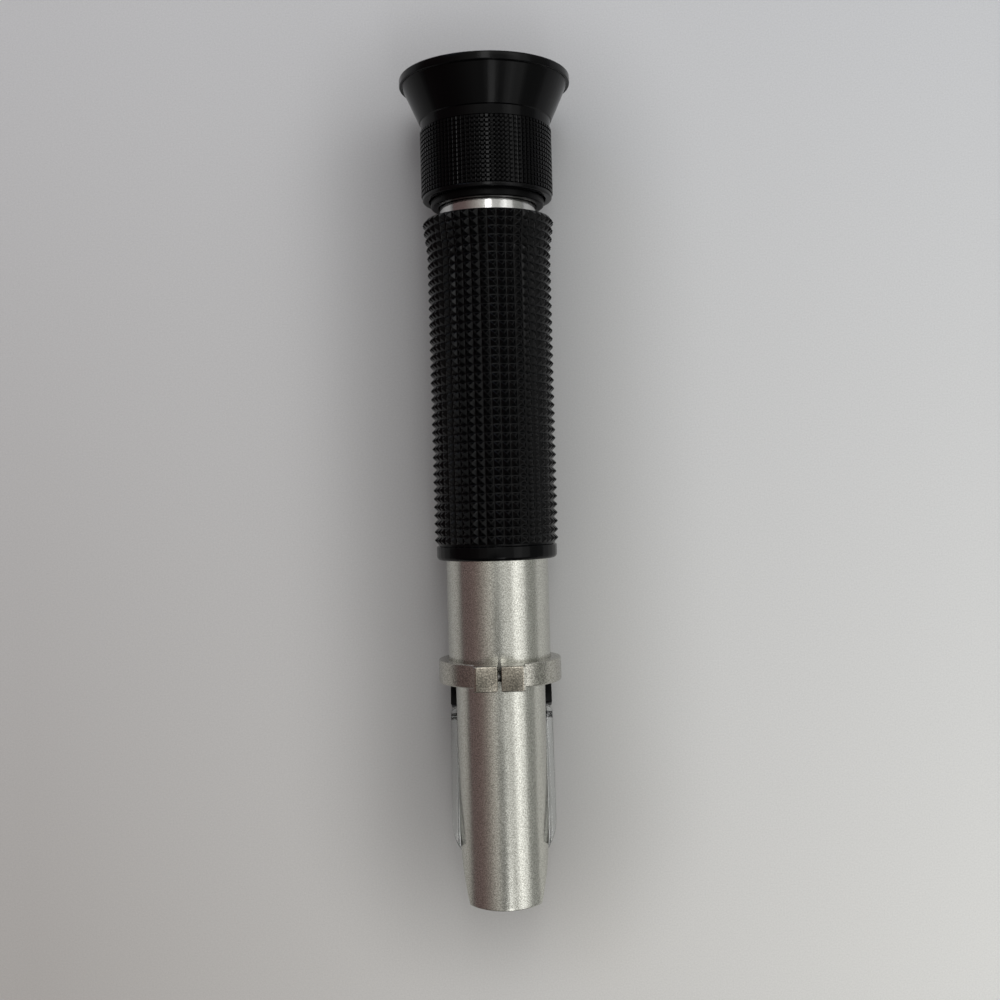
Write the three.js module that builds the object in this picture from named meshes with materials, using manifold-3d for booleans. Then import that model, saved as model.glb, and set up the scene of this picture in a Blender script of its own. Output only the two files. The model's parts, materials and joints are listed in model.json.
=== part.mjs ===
import * as THREE from "three";
import { mergeVertices } from "three/addons/utils/BufferGeometryUtils.js";
import Module from "manifold-3d";

const wasm = await Module();
wasm.setup();

// A handheld salinity refractometer, lying with its prism face down. Lengths are in millimetres.
// Places along the instrument (y) are measured from the prism tip towards the eyepiece, and heights (z)
// from the optical axis. The last group moves the whole instrument onto the surface that it lies on.

// Counts
const roundSides = 44; // sides of the large turned parts, one for each column of studs on the grip
const eyepieceSides = 36; // sides of the neck, the focusing tube and the eyecup
const innerSides = 20; // sides of the optical parts and the calibration screw's bush and cap
const screwSides = 12; // sides of screws and pins
const arcSteps = 6; // steps of a rounded corner
const hemSteps = 2; // steps of the grip's rounded hem
const lensSteps = 2; // steps of a lens face, from its middle to its edge

// Clearances
const pushFit = 0.05; // between turned parts that are pushed together
const runningFit = 0.1; // between parts that turn or slide in one another
const seatGap = 0.3; // between flat parts that close or rest on each other
const overrun = 1; // how far a cutter passes the face that it opens

// Prism head: a round bar, cut away by a slope that carries the prism
const headRadius = 8.75;
const headReach = 42.9;
const headInsert = 9;
const slopeDrop = 13.94;
const tipThickness = 3.75;
const tipArcRadius = 36;
const lightBoreRadius = 4.4;

// Measuring prism and the seal round its face
const prismWidth = 12;
const prismFaceLength = 24.4;
const prismSetback = 8.2;
const prismNose = 1.6;
const prismFit = 0.15;
const sealWidth = 0.9;
const sealDepth = 0.8;

// Barrel
const barrelWall = 1.2;
const barrelInset = 0.2;
const bareBarrel = 19.4;

// Clamp ring with its two lugs and the hinge ears
const ringWidth = 4.5;
const ringWall = 1.95;
const ringBevel = 0.25;
const lugRise = 2.2;
const lugWidth = 4.55;
const lugLength = 5;
const lugChamfer = 0.4;
const slitWidth = 0.7;
const clampScrewRadius = 0.95;
const clampHeadRadius = 1.45;
const clampHeadLength = 1.3;
const clampScrewRise = 0.35;
const driveSlotWidth = 0.45;
const driveSlotDepth = 0.5;
const earInnerX = 4.35;
const earWidth = 2.2;
const earCorner = 1.45;
const pinRadius = 1;
const pinProud = 0.3;

// Hinge yoke and daylight plate
const knuckleRadius = 2;
const knuckleGap = 0.55;
const knuckleSideGap = 0.15;
const yokeLength = 5.8;
const yokeRingGap = 0.3;
const webThickness = 2.4;
const plateThickness = 2;
const plateHalfWidth = 10.15;
const flangeThickness = 1.15;
const flangeRise = 2.6;
const plateFrontSetback = 5.6;
const plateYokeGap = 0.4;
const plateCorner = 1.2;
const tongueThickness = 0.95;
const tongueReach = 3.4;
const tongueGap = 0.1;
const platePinRadius = 0.65;
const platePinSetback = 1.9;
const platePinRise = 0.95;

// Calibration screw, its bush and its cap
const calibrationSetback = 9.6;
const bushFlangeRadius = 3.2;
const bushSpigotRadius = 2.3;
const bushRise = 1.7;
const calibrationScrewRadius = 1.5;
const calibrationScrewRecess = 0.5;
const capWall = 0.8;
const capRoof = 1.2;
const capSaddleGap = 0.15;
const capEdge = 0.4;

// Temperature compensator: the strip that carries the objective
const stripWidth = 5;
const stripThickness = 0.8;
const stripWallGap = 0.1;
const stripFixedLength = 6;
const stripJoggleLength = 4;
const stripOffset = 1.2;
const stripFreeLength = 33.5;
const stripScrewRadius = 0.85;
const stripScrewHeadRadius = 1.6;
const stripScrewHeadHeight = 0.9;
const stripScrewEmbed = 0.8;
const screwTipGap = 0.35;
const objectiveRadius = 4.5;
const objectiveEdge = 1.4;
const objectiveBulgeHeight = 0.5;
const cellWall = 1.1;
const cellLength = 5;
const cellLedge = 0.7;
const cellLedgeLength = 0.9;
const cellSetback = 5.5;
const retainerLength = 1;
const cellFootWidth = 4;
const cellScrewRadius = 0.6;
const cellScrewHeadRadius = 1.1;
const cellScrewHeadHeight = 0.45;
const cellScrewEmbed = 1;

// Aperture stop
const stopLength = 1.2;
const stopApertureRadius = 5;

// Rubber grip
const gripLength = 66.3;
const gripWall = 1.45;
const hemLength = 3.1;
const hemRise = 0.3;
const hemCorner = 0.7;
const hemGroove = 0.25;
const studHeight = 0.6;
const studRows = 39;
const flareLength = 7.8;
const flareRise = 0.75;
const gripLip = 1.3;

// Eyepiece neck with the reticle
const neckStep = 0.65;
const neckWall = 1.2;
const neckInsert = 13.5;
const neckGap = 2.6;
const reticleThickness = 1.5;
const reticleLedge = 1.2;
const reticleShelf = 1.5;
const reticleRetainerLength = 2;

// Focusing tube with the eyepiece lenses
const focusWall = 1.6;
const focusTubeLength = 15.8;
const focusEndWall = 3.7;
const focusIn = 1.5;
const lensTubeWall = 1.65;
const lensTubeReach = 4.7;
const lensLedge = 0.7;
const lensLedgeLength = 1;
const fieldLensEdge = 1.2;
const fieldLensBulgeHeight = 1;
const eyeLensEdge = 1.3;
const eyeLensBulgeHeight = 1.2;
const spacerWall = 0.7;
const eyeRetainerLength = 1.3;
const eyeRetainerWall = 1.2;

// Rubber eyecup
const sleeveInset = 1.3;
const sleeveWall = 1.4;
const sleeveMouth = 0.25;
const sleeveMouthDepth = 1.1;
const lowerBand = 0.8;
const bandDrop = 0.2;
const knurlLength = 12.8;
const knurlHeight = 0.35;
const upperBand = 1.9;
const creaseRise = 0.45;
const coneLength = 6.8;
const coneRise = 3.05;
const lipLength = 1.7;
const lipOverhang = 0.65;
const lipCorner = 0.25;
const cupWall = 1.3;
const cupFloor = 1.1;
const eyeholeRadius = 7.4;

// Radii that follow from the sizes above
const boreRadius = headRadius + pushFit;
const barrelRadius = boreRadius + barrelWall;
const ringBoreRadius = barrelRadius + pushFit;
const ringRadius = ringBoreRadius + ringWall;
const gripBoreRadius = barrelRadius + pushFit;
const gripRootRadius = gripBoreRadius + gripWall;
const hemRadius = gripRootRadius + hemRise;
const neckSpigotRadius = boreRadius - pushFit;
const neckRadius = neckSpigotRadius + neckStep;
const neckBoreRadius = neckRadius - neckWall;
const focusBoreRadius = neckRadius + runningFit;
const focusRadius = focusBoreRadius + focusWall;
const lensTubeRadius = neckBoreRadius - runningFit;
const lensBoreRadius = lensTubeRadius - lensTubeWall;
const lensRadius = lensBoreRadius - pushFit;
const sleeveBoreRadius = focusRadius + pushFit;
const sleeveRadius = sleeveBoreRadius + sleeveWall;
const knurlRadius = sleeveRadius + knurlHeight;
const bandRadius = knurlRadius - bandDrop;
const creaseRadius = sleeveRadius + creaseRise;
const coneRadius = creaseRadius + coneRise;
const rimRadius = coneRadius + lipOverhang;

// Places along the instrument
const ringStart = headReach;
const ringEnd = ringStart + ringWidth;
const gripStart = ringEnd + bareBarrel;
const gripEnd = gripStart + gripLength;
const barrelStart = ringStart + barrelInset;
const barrelEnd = gripEnd - gripLip;
const headEnd = headReach + headInsert;
const calibrationY = ringEnd + calibrationSetback;
const neckStart = barrelEnd - neckInsert;
const focusStart = gripEnd + neckGap;
const focusEnd = focusStart + focusTubeLength;
const focusWallStart = focusEnd - focusEndWall;
const neckEnd = focusWallStart - focusIn - seatGap;
const sleeveStart = focusStart + sleeveInset;
const knurlStart = sleeveStart + lowerBand;
const knurlEnd = knurlStart + knurlLength;
const creaseY = knurlEnd + upperBand;
const lipStart = creaseY + coneLength;
const overallLength = lipStart + lipLength;

// The slope: it leaves tipThickness of metal at the tip and falls by slopeDrop on the way to the ring
const slopeAngle = Math.atan(slopeDrop / headReach);
const slopeTop = headRadius - tipThickness;
const slopeHeight = (y) => slopeTop - y * Math.tan(slopeAngle);
const onSlope = (along, depth) => [
  along * Math.cos(slopeAngle) + depth * Math.sin(slopeAngle),
  slopeTop - along * Math.sin(slopeAngle) + depth * Math.cos(slopeAngle),
];
const slopePlace = new THREE.Matrix4()
  .makeRotationX(-slopeAngle)
  .setPosition(0, 0, slopeTop);

// The hinge pin lies under the ring, square to the instrument
const pinY = ringStart + ringWidth / 2;
const pinZ = -(ringRadius + knuckleRadius + knuckleGap);

// Materials
const satinAluminium = new THREE.MeshStandardMaterial({ color: 0xb9b9b6, roughness: 0.38, metalness: 0.9 });
const blackRubber = new THREE.MeshStandardMaterial({ color: 0x101112, roughness: 0.45, metalness: 0 });
const blackPlastic = new THREE.MeshStandardMaterial({ color: 0x0c0c0d, roughness: 0.35, metalness: 0 });
const clearPlastic = new THREE.MeshStandardMaterial({
  color: 0xe8ecea, roughness: 0.08, metalness: 0, transparent: true, opacity: 0.3,
});
const opticalGlass = new THREE.MeshStandardMaterial({
  color: 0xdfe8ee, roughness: 0.03, metalness: 0, transparent: true, opacity: 0.4,
});
const brightSteel = new THREE.MeshStandardMaterial({ color: 0x9d9fa1, roughness: 0.3, metalness: 1 });
const bimetal = new THREE.MeshStandardMaterial({ color: 0xa98d55, roughness: 0.4, metalness: 1 });
const greySeal = new THREE.MeshStandardMaterial({ color: 0x4a4c4d, roughness: 0.7, metalness: 0 });

const instrument = new THREE.Group();
instrument.name = "refractometer";

// Adds a geometry to the instrument as a named piece.
function addPiece(name, geometry, material) {
  const piece = new THREE.Mesh(geometry, material);
  piece.name = name;
  instrument.add(piece);
  return piece;
}

// Turns a closed geometry into a solid that can be joined and cut.
function toSolid(geometry) {
  const bare = new THREE.BufferGeometry();
  bare.setAttribute("position", geometry.getAttribute("position").clone());
  if (geometry.index) bare.setIndex(geometry.index.clone());
  const merged = mergeVertices(bare);
  const corners = merged.index.array;
  const kept = [];
  for (let i = 0; i < corners.length; i += 3) {
    const [a, b, c] = corners.slice(i, i + 3);
    if (a !== b && b !== c && c !== a) kept.push(a, b, c);
  }
  return new wasm.Manifold(
    new wasm.Mesh({
      numProp: 3,
      vertProperties: new Float32Array(merged.attributes.position.array),
      triVerts: new Uint32Array(kept),
    }),
  );
}

// Turns a solid back into a geometry.
function toGeometry(solid) {
  const mesh = solid.getMesh();
  const geometry = new THREE.BufferGeometry();
  geometry.setAttribute("position", new THREE.BufferAttribute(mesh.vertProperties, 3));
  geometry.setIndex(new THREE.BufferAttribute(mesh.triVerts, 1));
  geometry.computeVertexNormals();
  return geometry;
}

// Joins the geometries in add, then takes away those in cut.
function carve({ add, cut = [] }) {
  let solid = toSolid(add[0]);
  for (const more of add.slice(1)) solid = solid.add(toSolid(more));
  for (const less of cut) solid = solid.subtract(toSolid(less));
  return toGeometry(solid);
}

// Revolves a closed outline of [radius, y] points round the optical axis.
function turned(outline, sides) {
  const points = [...outline, outline[0]].map(([r, y]) => new THREE.Vector2(r, y));
  return new THREE.LatheGeometry(points, sides);
}

// A plain tube between two places along the axis.
const tube = (inner, outer, from, to, sides) =>
  turned([[inner, from], [outer, from], [outer, to], [inner, to]], sides);

// A round bar along the optical axis.
const bar = (radius, from, to, sides) =>
  new THREE.CylinderGeometry(radius, radius, to - from, sides).translate(0, (from + to) / 2, 0);

// A round bar across the instrument, along X, through (y, z).
const crossBar = (radius, y, z, from, to, sides = screwSides) =>
  new THREE.CylinderGeometry(radius, radius, to - from, sides)
    .rotateZ(-Math.PI / 2)
    .translate((from + to) / 2, y, z);

// An upright round bar, along Z, at y.
const uprightBar = (radius, y, from, to, sides = screwSides) =>
  new THREE.CylinderGeometry(radius, radius, to - from, sides)
    .rotateX(Math.PI / 2)
    .translate(0, y, (from + to) / 2);

// A box between two corners.
const block = ([x0, y0, z0], [x1, y1, z1]) =>
  new THREE.BoxGeometry(x1 - x0, y1 - y0, z1 - z0).translate((x0 + x1) / 2, (y0 + y1) / 2, (z0 + z1) / 2);

// Extrudes an outline of [y, z] points across the instrument, from one x to another.
function acrossFrom(outline, from, to) {
  const shape =
    outline instanceof THREE.Shape
      ? outline
      : new THREE.Shape(outline.map(([y, z]) => new THREE.Vector2(y, z)));
  const turn = new THREE.Matrix4().makeBasis(
    new THREE.Vector3(0, 1, 0),
    new THREE.Vector3(0, 0, 1),
    new THREE.Vector3(1, 0, 0),
  );
  return new THREE.ExtrudeGeometry(shape, { depth: to - from, bevelEnabled: false, curveSegments: arcSteps })
    .applyMatrix4(turn)
    .translate(from, 0, 0);
}

// The same outline extruded at both sides, between two distances from the middle.
const atBothSides = (outline, inner, outer) =>
  [acrossFrom(outline, -outer, -inner), acrossFrom(outline, inner, outer)];

// Places a geometry made on the slope (x across, y down the slope from the tip, z into the metal).
const ontoSlope = (geometry) => geometry.applyMatrix4(slopePlace);

// A block on the slope that reaches past the prism's face by a margin all round.
const roundPrismFace = (margin, from, to) =>
  ontoSlope(
    block(
      [-prismWidth / 2 - margin, prismSetback - margin, from],
      [prismWidth / 2 + margin, prismSetback + prismFaceLength + margin, to],
    ),
  );

// A lens of two equal bulging faces, between two places at its edge.
function lens(radius, edgeFrom, edge, bulge, sides) {
  const outline = [];
  for (let i = 0; i <= lensSteps; i++) {
    const share = i / lensSteps;
    outline.push([radius * share, edgeFrom - bulge * (1 - share * share)]);
  }
  for (let i = lensSteps; i >= 0; i--) {
    const share = i / lensSteps;
    outline.push([radius * share, edgeFrom + edge + bulge * (1 - share * share)]);
  }
  return new THREE.LatheGeometry(outline.map(([r, y]) => new THREE.Vector2(r, y)), sides);
}

// How far a lens's edge stays behind a ring that holds its face at the given width from the edge.
const behindRing = (radius, width, bulge) => bulge * (1 - ((radius - width) / radius) ** 2) + pushFit;

// The measuring prism's side: its face on the slope, its rear face square to the axis
const prismRear = onSlope(prismSetback + prismFaceLength, 0);
const prismTop = onSlope(prismSetback, prismNose);
const prismOutline = [onSlope(prismSetback, 0), prismRear, [prismRear[0], prismTop[1]], prismTop];

function prismHead() {
  const length = headEnd;
  const halfWidth = headRadius + overrun;
  const halfAngle = Math.asin(halfWidth / tipArcRadius);
  const plan = new THREE.Shape();
  plan.absarc(0, tipArcRadius, tipArcRadius, -Math.PI / 2 - halfAngle, -Math.PI / 2 + halfAngle);
  plan.lineTo(halfWidth, length + overrun);
  plan.lineTo(-halfWidth, length + overrun);
  const planBlock = new THREE.ExtrudeGeometry(plan, {
    depth: headRadius * 2 + overrun * 2, bevelEnabled: false, curveSegments: arcSteps,
  }).translate(0, 0, -headRadius - overrun);
  const low = -headRadius - overrun;
  const belowSlope = acrossFrom(
    [
      [-overrun, slopeHeight(-overrun)],
      [-overrun, low],
      [(slopeTop - low) / Math.tan(slopeAngle), low],
    ],
    -halfWidth,
    halfWidth,
  );
  const pocketRear = prismRear[0] + prismFit;
  const pocket = acrossFrom(
    [
      onSlope(prismSetback - prismFit, -overrun),
      [pocketRear, slopeHeight(pocketRear) - overrun],
      [pocketRear, prismTop[1] + prismFit],
      onSlope(prismSetback - prismFit, prismNose + prismFit),
    ],
    -prismWidth / 2 - prismFit,
    prismWidth / 2 + prismFit,
  );
  const groove = roundPrismFace(sealWidth + prismFit, -overrun, sealDepth + pushFit);
  const head = toSolid(bar(headRadius, -overrun, length, roundSides))
    .intersect(toSolid(planBlock))
    .subtract(toSolid(belowSlope))
    .subtract(toSolid(pocket))
    .subtract(toSolid(groove))
    .subtract(toSolid(bar(lightBoreRadius, prismRear[0], length + overrun, innerSides)));
  addPiece("prism_head", toGeometry(head), satinAluminium);
}

function measuringPrism() {
  addPiece("measuring_prism", acrossFrom(prismOutline, -prismWidth / 2, prismWidth / 2), opticalGlass);
}

function prismSeal() {
  const outer = roundPrismFace(sealWidth, 0, sealDepth);
  const inner = roundPrismFace(pushFit, -overrun, sealDepth + overrun);
  addPiece("prism_seal", carve({ add: [outer], cut: [inner] }), greySeal);
}

// The strip lies along the lowest side of the bore, and its fixed end meets the wall with its two edges
const stripFaceZ = -(Math.sqrt(boreRadius ** 2 - (stripWidth / 2) ** 2) - stripWallGap);
const stripFreeZ = stripFaceZ + stripOffset;
const stripFreeEnd = calibrationY - stripWidth / 2;
const joggleStart = stripFreeEnd + stripFreeLength;
const joggleEnd = joggleStart + stripJoggleLength;
const stripEnd = joggleEnd + stripFixedLength;
const stripScrewY = joggleEnd + stripFixedLength / 2;
const stripScrewHeadZ = stripFaceZ + stripThickness + pushFit;

function barrel() {
  const shell = tube(boreRadius, barrelRadius, barrelStart, barrelEnd, roundSides);
  const bushHole = uprightBar(
    bushSpigotRadius + pushFit, calibrationY, -barrelRadius - overrun, -boreRadius + overrun * 2, innerSides,
  );
  const screwHole = uprightBar(
    stripScrewRadius + pushFit, stripScrewY, -barrelRadius - overrun, -boreRadius + overrun,
  );
  addPiece("barrel", carve({ add: [shell], cut: [bushHole, screwHole] }), satinAluminium);
}

// A lug's cross-section, seen along the instrument: square, with its outer corners cut off
function lug(side) {
  const low = barrelRadius;
  const high = ringRadius + lugRise;
  const near = slitWidth / 2;
  const far = near + lugWidth;
  const shape = new THREE.Shape(
    [
      [near, low],
      [far, low],
      [far, high - lugChamfer],
      [far - lugChamfer, high],
      [near + lugChamfer, high],
      [near, high - lugChamfer],
    ].map(([x, z]) => new THREE.Vector2(side * x, z)),
  );
  return new THREE.ExtrudeGeometry(shape, {
    depth: lugLength - 2 * lugChamfer,
    bevelSegments: 1,
    bevelThickness: lugChamfer,
    bevelSize: lugChamfer,
    bevelOffset: -lugChamfer,
  })
    .rotateX(Math.PI / 2)
    .translate(0, ringEnd - lugChamfer, 0);
}

// A hinge ear, seen from the side: it hangs below the ring and its foot is flat
const foot = -rimRadius;
const ear = new THREE.Shape();
ear.moveTo(ringStart, -ringBoreRadius);
ear.lineTo(ringStart, foot + earCorner);
ear.absarc(ringStart + earCorner, foot + earCorner, earCorner, Math.PI, Math.PI * 1.5);
ear.absarc(ringEnd - earCorner, foot + earCorner, earCorner, Math.PI * 1.5, Math.PI * 2);
ear.lineTo(ringEnd, -ringBoreRadius);

const clampScrewZ = ringRadius + clampScrewRise;
const lugOuterX = slitWidth / 2 + lugWidth;
const earOuterX = earInnerX + earWidth;

function clampRing() {
  const band = turned(
    [
      [barrelRadius - overrun, ringStart],
      [ringRadius - ringBevel, ringStart],
      [ringRadius, ringStart + ringBevel],
      [ringRadius, ringEnd - ringBevel],
      [ringRadius - ringBevel, ringEnd],
      [barrelRadius - overrun, ringEnd],
    ],
    roundSides,
  );
  const bore = bar(ringBoreRadius, ringStart - lugLength, ringEnd + lugLength, roundSides);
  const slit = block(
    [-slitWidth / 2, ringStart - lugLength, 0],
    [slitWidth / 2, ringEnd + lugLength, ringRadius + lugRise + overrun],
  );
  const screwHole = crossBar(
    clampScrewRadius + pushFit, pinY, clampScrewZ, -lugOuterX - overrun, lugOuterX + overrun,
  );
  const headHole = crossBar(
    clampHeadRadius + pushFit, pinY, clampScrewZ, lugOuterX - clampHeadLength, lugOuterX + overrun,
  );
  const pinHole = crossBar(pinRadius + pushFit, pinY, pinZ, -earOuterX - overrun, earOuterX + overrun);
  const geometry = carve({
    add: [band, lug(-1), lug(1), ...atBothSides(ear, earInnerX, earOuterX)],
    cut: [bore, slit, screwHole, headHole, pinHole],
  });
  addPiece("clamp_ring", geometry, satinAluminium);
}

function clampScrew() {
  const headFrom = lugOuterX - clampHeadLength + pushFit;
  const slot = block(
    [lugOuterX - driveSlotDepth, pinY - clampHeadRadius - overrun, clampScrewZ - driveSlotWidth / 2],
    [lugOuterX + overrun, pinY + clampHeadRadius + overrun, clampScrewZ + driveSlotWidth / 2],
  );
  const geometry = carve({
    add: [
      crossBar(clampScrewRadius, pinY, clampScrewZ, -lugOuterX + pushFit, headFrom + driveSlotDepth / 2),
      crossBar(clampHeadRadius, pinY, clampScrewZ, headFrom, lugOuterX),
    ],
    cut: [slot],
  });
  addPiece("clamp_screw", geometry, brightSteel);
}

function hingePin() {
  const end = earOuterX + pinProud;
  addPiece("hinge_pin", crossBar(pinRadius, pinY, pinZ, -end, end), brightSteel);
}

// The yoke stands behind the plate: a bar below the head, a cheek at each side, and a knuckle on the pin
const yokeBack = ringStart - yokeRingGap;
const yokeFront = yokeBack - yokeLength;
const plateInner = -seatGap;
const plateOuter = plateInner - plateThickness;
const cheekInnerX = plateHalfWidth - flangeThickness - tongueGap - tongueThickness;
const yokeAlong = yokeFront / Math.cos(slopeAngle);
const plateEnd = yokeAlong - plateYokeGap;
const platePinAlong = plateEnd - platePinSetback;
const webHalfWidth = earInnerX - knuckleSideGap;
const below = (y, depth) => slopeHeight(y) + depth / Math.cos(slopeAngle);

// The pins of the plate lie across the flanges and the yoke's tongues
const [platePinY, platePinZ] = onSlope(platePinAlong, plateInner + platePinRise);

function platePinHole() {
  const reach = plateHalfWidth + overrun;
  return crossBar(platePinRadius + pushFit, platePinY, platePinZ, -reach, reach);
}

function hingeYoke() {
  const side = (top) => [
    onSlope(yokeAlong, top),
    onSlope(yokeAlong, plateOuter),
    [yokeBack, below(yokeBack, plateOuter)],
    [yokeBack, below(yokeBack, top)],
  ];
  const cheek = side(plateInner + flangeRise);
  const tongueFront = platePinAlong - (tongueReach - platePinSetback);
  const tongue = [
    onSlope(tongueFront, plateInner + tongueGap),
    onSlope(yokeAlong + overrun, plateInner + tongueGap),
    onSlope(yokeAlong + overrun, plateInner + platePinRise * 2 + tongueGap),
    onSlope(tongueFront, plateInner + platePinRise * 2 + tongueGap),
  ];
  const web = new THREE.Shape();
  web.moveTo(yokeBack - webThickness, below(yokeBack - webThickness, (plateInner + plateOuter) / 2));
  web.lineTo(yokeBack - webThickness, pinZ);
  web.lineTo(pinY - knuckleRadius, pinZ - knuckleRadius / 2);
  web.absarc(pinY, pinZ, knuckleRadius, Math.PI * 1.25, Math.PI * 2.5);
  web.lineTo(yokeBack, pinZ + knuckleRadius);
  web.lineTo(yokeBack, below(yokeBack, (plateInner + plateOuter) / 2));
  const pinHole = crossBar(pinRadius + pushFit, pinY, pinZ, -webHalfWidth - overrun, webHalfWidth + overrun);
  const geometry = carve({
    add: [
      acrossFrom(side(plateInner), -plateHalfWidth, plateHalfWidth),
      ...atBothSides(cheek, cheekInnerX, plateHalfWidth),
      ...atBothSides(tongue, cheekInnerX, cheekInnerX + tongueThickness),
      acrossFrom(web, -webHalfWidth, webHalfWidth),
    ],
    cut: [pinHole, platePinHole()],
  });
  addPiece("hinge_yoke", geometry, blackPlastic);
}

// The plate's outline on the slope: a half round front, straight sides and two rounded rear corners
function plateOutline(inset) {
  const half = plateHalfWidth - inset;
  const corner = plateCorner;
  const front = plateFrontSetback / Math.cos(slopeAngle) + plateHalfWidth;
  const shape = new THREE.Shape();
  shape.absarc(0, front, half, Math.PI, Math.PI * 2);
  shape.lineTo(half, plateEnd - corner);
  shape.absarc(half - corner, plateEnd - corner, corner, 0, Math.PI / 2);
  shape.absarc(-half + corner, plateEnd - corner, corner, Math.PI / 2, Math.PI);
  return shape;
}

function daylightPlate() {
  const slab = (inset, from, to) =>
    new THREE.ExtrudeGeometry(plateOutline(inset), {
      depth: to - from, bevelEnabled: false, curveSegments: arcSteps * 2,
    }).translate(0, 0, from);
  const rim = slab(0, plateOuter, plateInner + flangeRise);
  const halfInside = plateHalfWidth - flangeThickness;
  const inside = block(
    [-halfInside, -overrun, plateInner],
    [halfInside, plateEnd + overrun, plateInner + flangeRise + overrun],
  );
  const geometry = carve({ add: [ontoSlope(rim)], cut: [ontoSlope(inside), platePinHole()] });
  addPiece("daylight_plate", geometry, clearPlastic);
}

function platePins() {
  const pin = (from, to) => crossBar(platePinRadius, platePinY, platePinZ, from, to);
  addPiece("plate_pin_left", pin(-plateHalfWidth, -cheekInnerX), blackPlastic);
  addPiece("plate_pin_right", pin(cheekInnerX, plateHalfWidth), blackPlastic);
}

// The bush sits on the barrel like a saddle, and its spigot goes through the wall
const bushTop = -(barrelRadius + bushRise);
const calibrationScrewTop = bushTop + calibrationScrewRecess;

// A piece of the barrel's own curve, with a gap, that cuts a saddle under something of the given reach
const saddle = (gap, reach) =>
  bar(barrelRadius + gap, calibrationY - reach - overrun, calibrationY + reach + overrun, roundSides);

function calibrationBush() {
  const flange = carve({
    add: [uprightBar(bushFlangeRadius, calibrationY, bushTop, -boreRadius, innerSides)],
    cut: [saddle(pushFit, bushFlangeRadius)],
  });
  const spigotTop = -boreRadius + pushFit;
  const spigot = uprightBar(bushSpigotRadius, calibrationY, bushTop + bushRise / 2, spigotTop, innerSides);
  const boreSize = calibrationScrewRadius + pushFit;
  const bore = uprightBar(boreSize, calibrationY, bushTop - overrun, spigotTop + overrun);
  addPiece("calibration_bush", carve({ add: [flange, spigot], cut: [bore] }), satinAluminium);
}

function calibrationScrew() {
  const tip = stripFreeZ - screwTipGap;
  const reach = calibrationScrewRadius + overrun;
  const slot = block(
    [-reach, calibrationY - driveSlotWidth / 2, calibrationScrewTop - overrun],
    [reach, calibrationY + driveSlotWidth / 2, calibrationScrewTop + driveSlotDepth],
  );
  const geometry = carve({
    add: [uprightBar(calibrationScrewRadius, calibrationY, calibrationScrewTop, tip)],
    cut: [slot],
  });
  addPiece("calibration_screw", geometry, brightSteel);
}

function calibrationCap() {
  const innerRadius = bushFlangeRadius + pushFit * 2;
  const outerRadius = innerRadius + capWall;
  const roofInside = bushTop - pushFit * 2;
  const roof = roofInside - capRoof;
  const outline = [
    [0, 0],
    [outerRadius - capEdge, 0],
    [outerRadius, capEdge],
    [outerRadius, -roof],
    [innerRadius, -roof],
    [innerRadius, capRoof],
    [0, capRoof],
  ];
  const cup = new THREE.LatheGeometry(outline.map(([r, y]) => new THREE.Vector2(r, y)), innerSides)
    .rotateX(Math.PI / 2)
    .translate(0, calibrationY, roof);
  const geometry = carve({ add: [cup], cut: [saddle(capSaddleGap, outerRadius)] });
  addPiece("calibration_cap", geometry, blackRubber);
}

function compensatorStrip() {
  const side = [
    [stripFreeEnd, stripFreeZ],
    [joggleStart, stripFreeZ],
    [joggleEnd, stripFaceZ],
    [stripEnd, stripFaceZ],
    [stripEnd, stripFaceZ + stripThickness],
    [joggleEnd, stripFaceZ + stripThickness],
    [joggleStart, stripFreeZ + stripThickness],
    [stripFreeEnd, stripFreeZ + stripThickness],
  ];
  const hole = (radius, y, z) => uprightBar(radius, y, z - overrun, z + stripThickness + overrun);
  const geometry = carve({
    add: [acrossFrom(side, -stripWidth / 2, stripWidth / 2)],
    cut: [
      hole(stripScrewRadius + runningFit, stripScrewY, stripFaceZ),
      hole(cellScrewRadius + pushFit, cellY, stripFreeZ),
    ],
  });
  addPiece("compensator_strip", geometry, bimetal);
}

function stripScrew() {
  const headTop = stripScrewHeadZ + stripScrewHeadHeight;
  const reach = stripScrewHeadRadius + overrun;
  const shankEnd = stripScrewHeadZ + stripScrewHeadHeight / 2;
  const geometry = carve({
    add: [
      uprightBar(stripScrewRadius, stripScrewY, -boreRadius - stripScrewEmbed, shankEnd),
      uprightBar(stripScrewHeadRadius, stripScrewY, stripScrewHeadZ, headTop),
    ],
    cut: [
      block(
        [-reach, stripScrewY - driveSlotWidth / 2, headTop - driveSlotDepth],
        [reach, stripScrewY + driveSlotWidth / 2, headTop + overrun],
      ),
    ],
  });
  addPiece("strip_screw", geometry, brightSteel);
}

// The objective's cell hangs on the strip by a foot
const cellStart = calibrationY + cellSetback - cellLength / 2;
const cellY = calibrationY + cellSetback;
const cellRadius = objectiveRadius + pushFit + cellWall;
const cellFootZ = stripFreeZ + stripThickness + pushFit;
const objectiveSeat = behindRing(objectiveRadius, cellLedge, objectiveBulgeHeight);
const objectiveStart = cellStart + cellLedgeLength + objectiveSeat;

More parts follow.
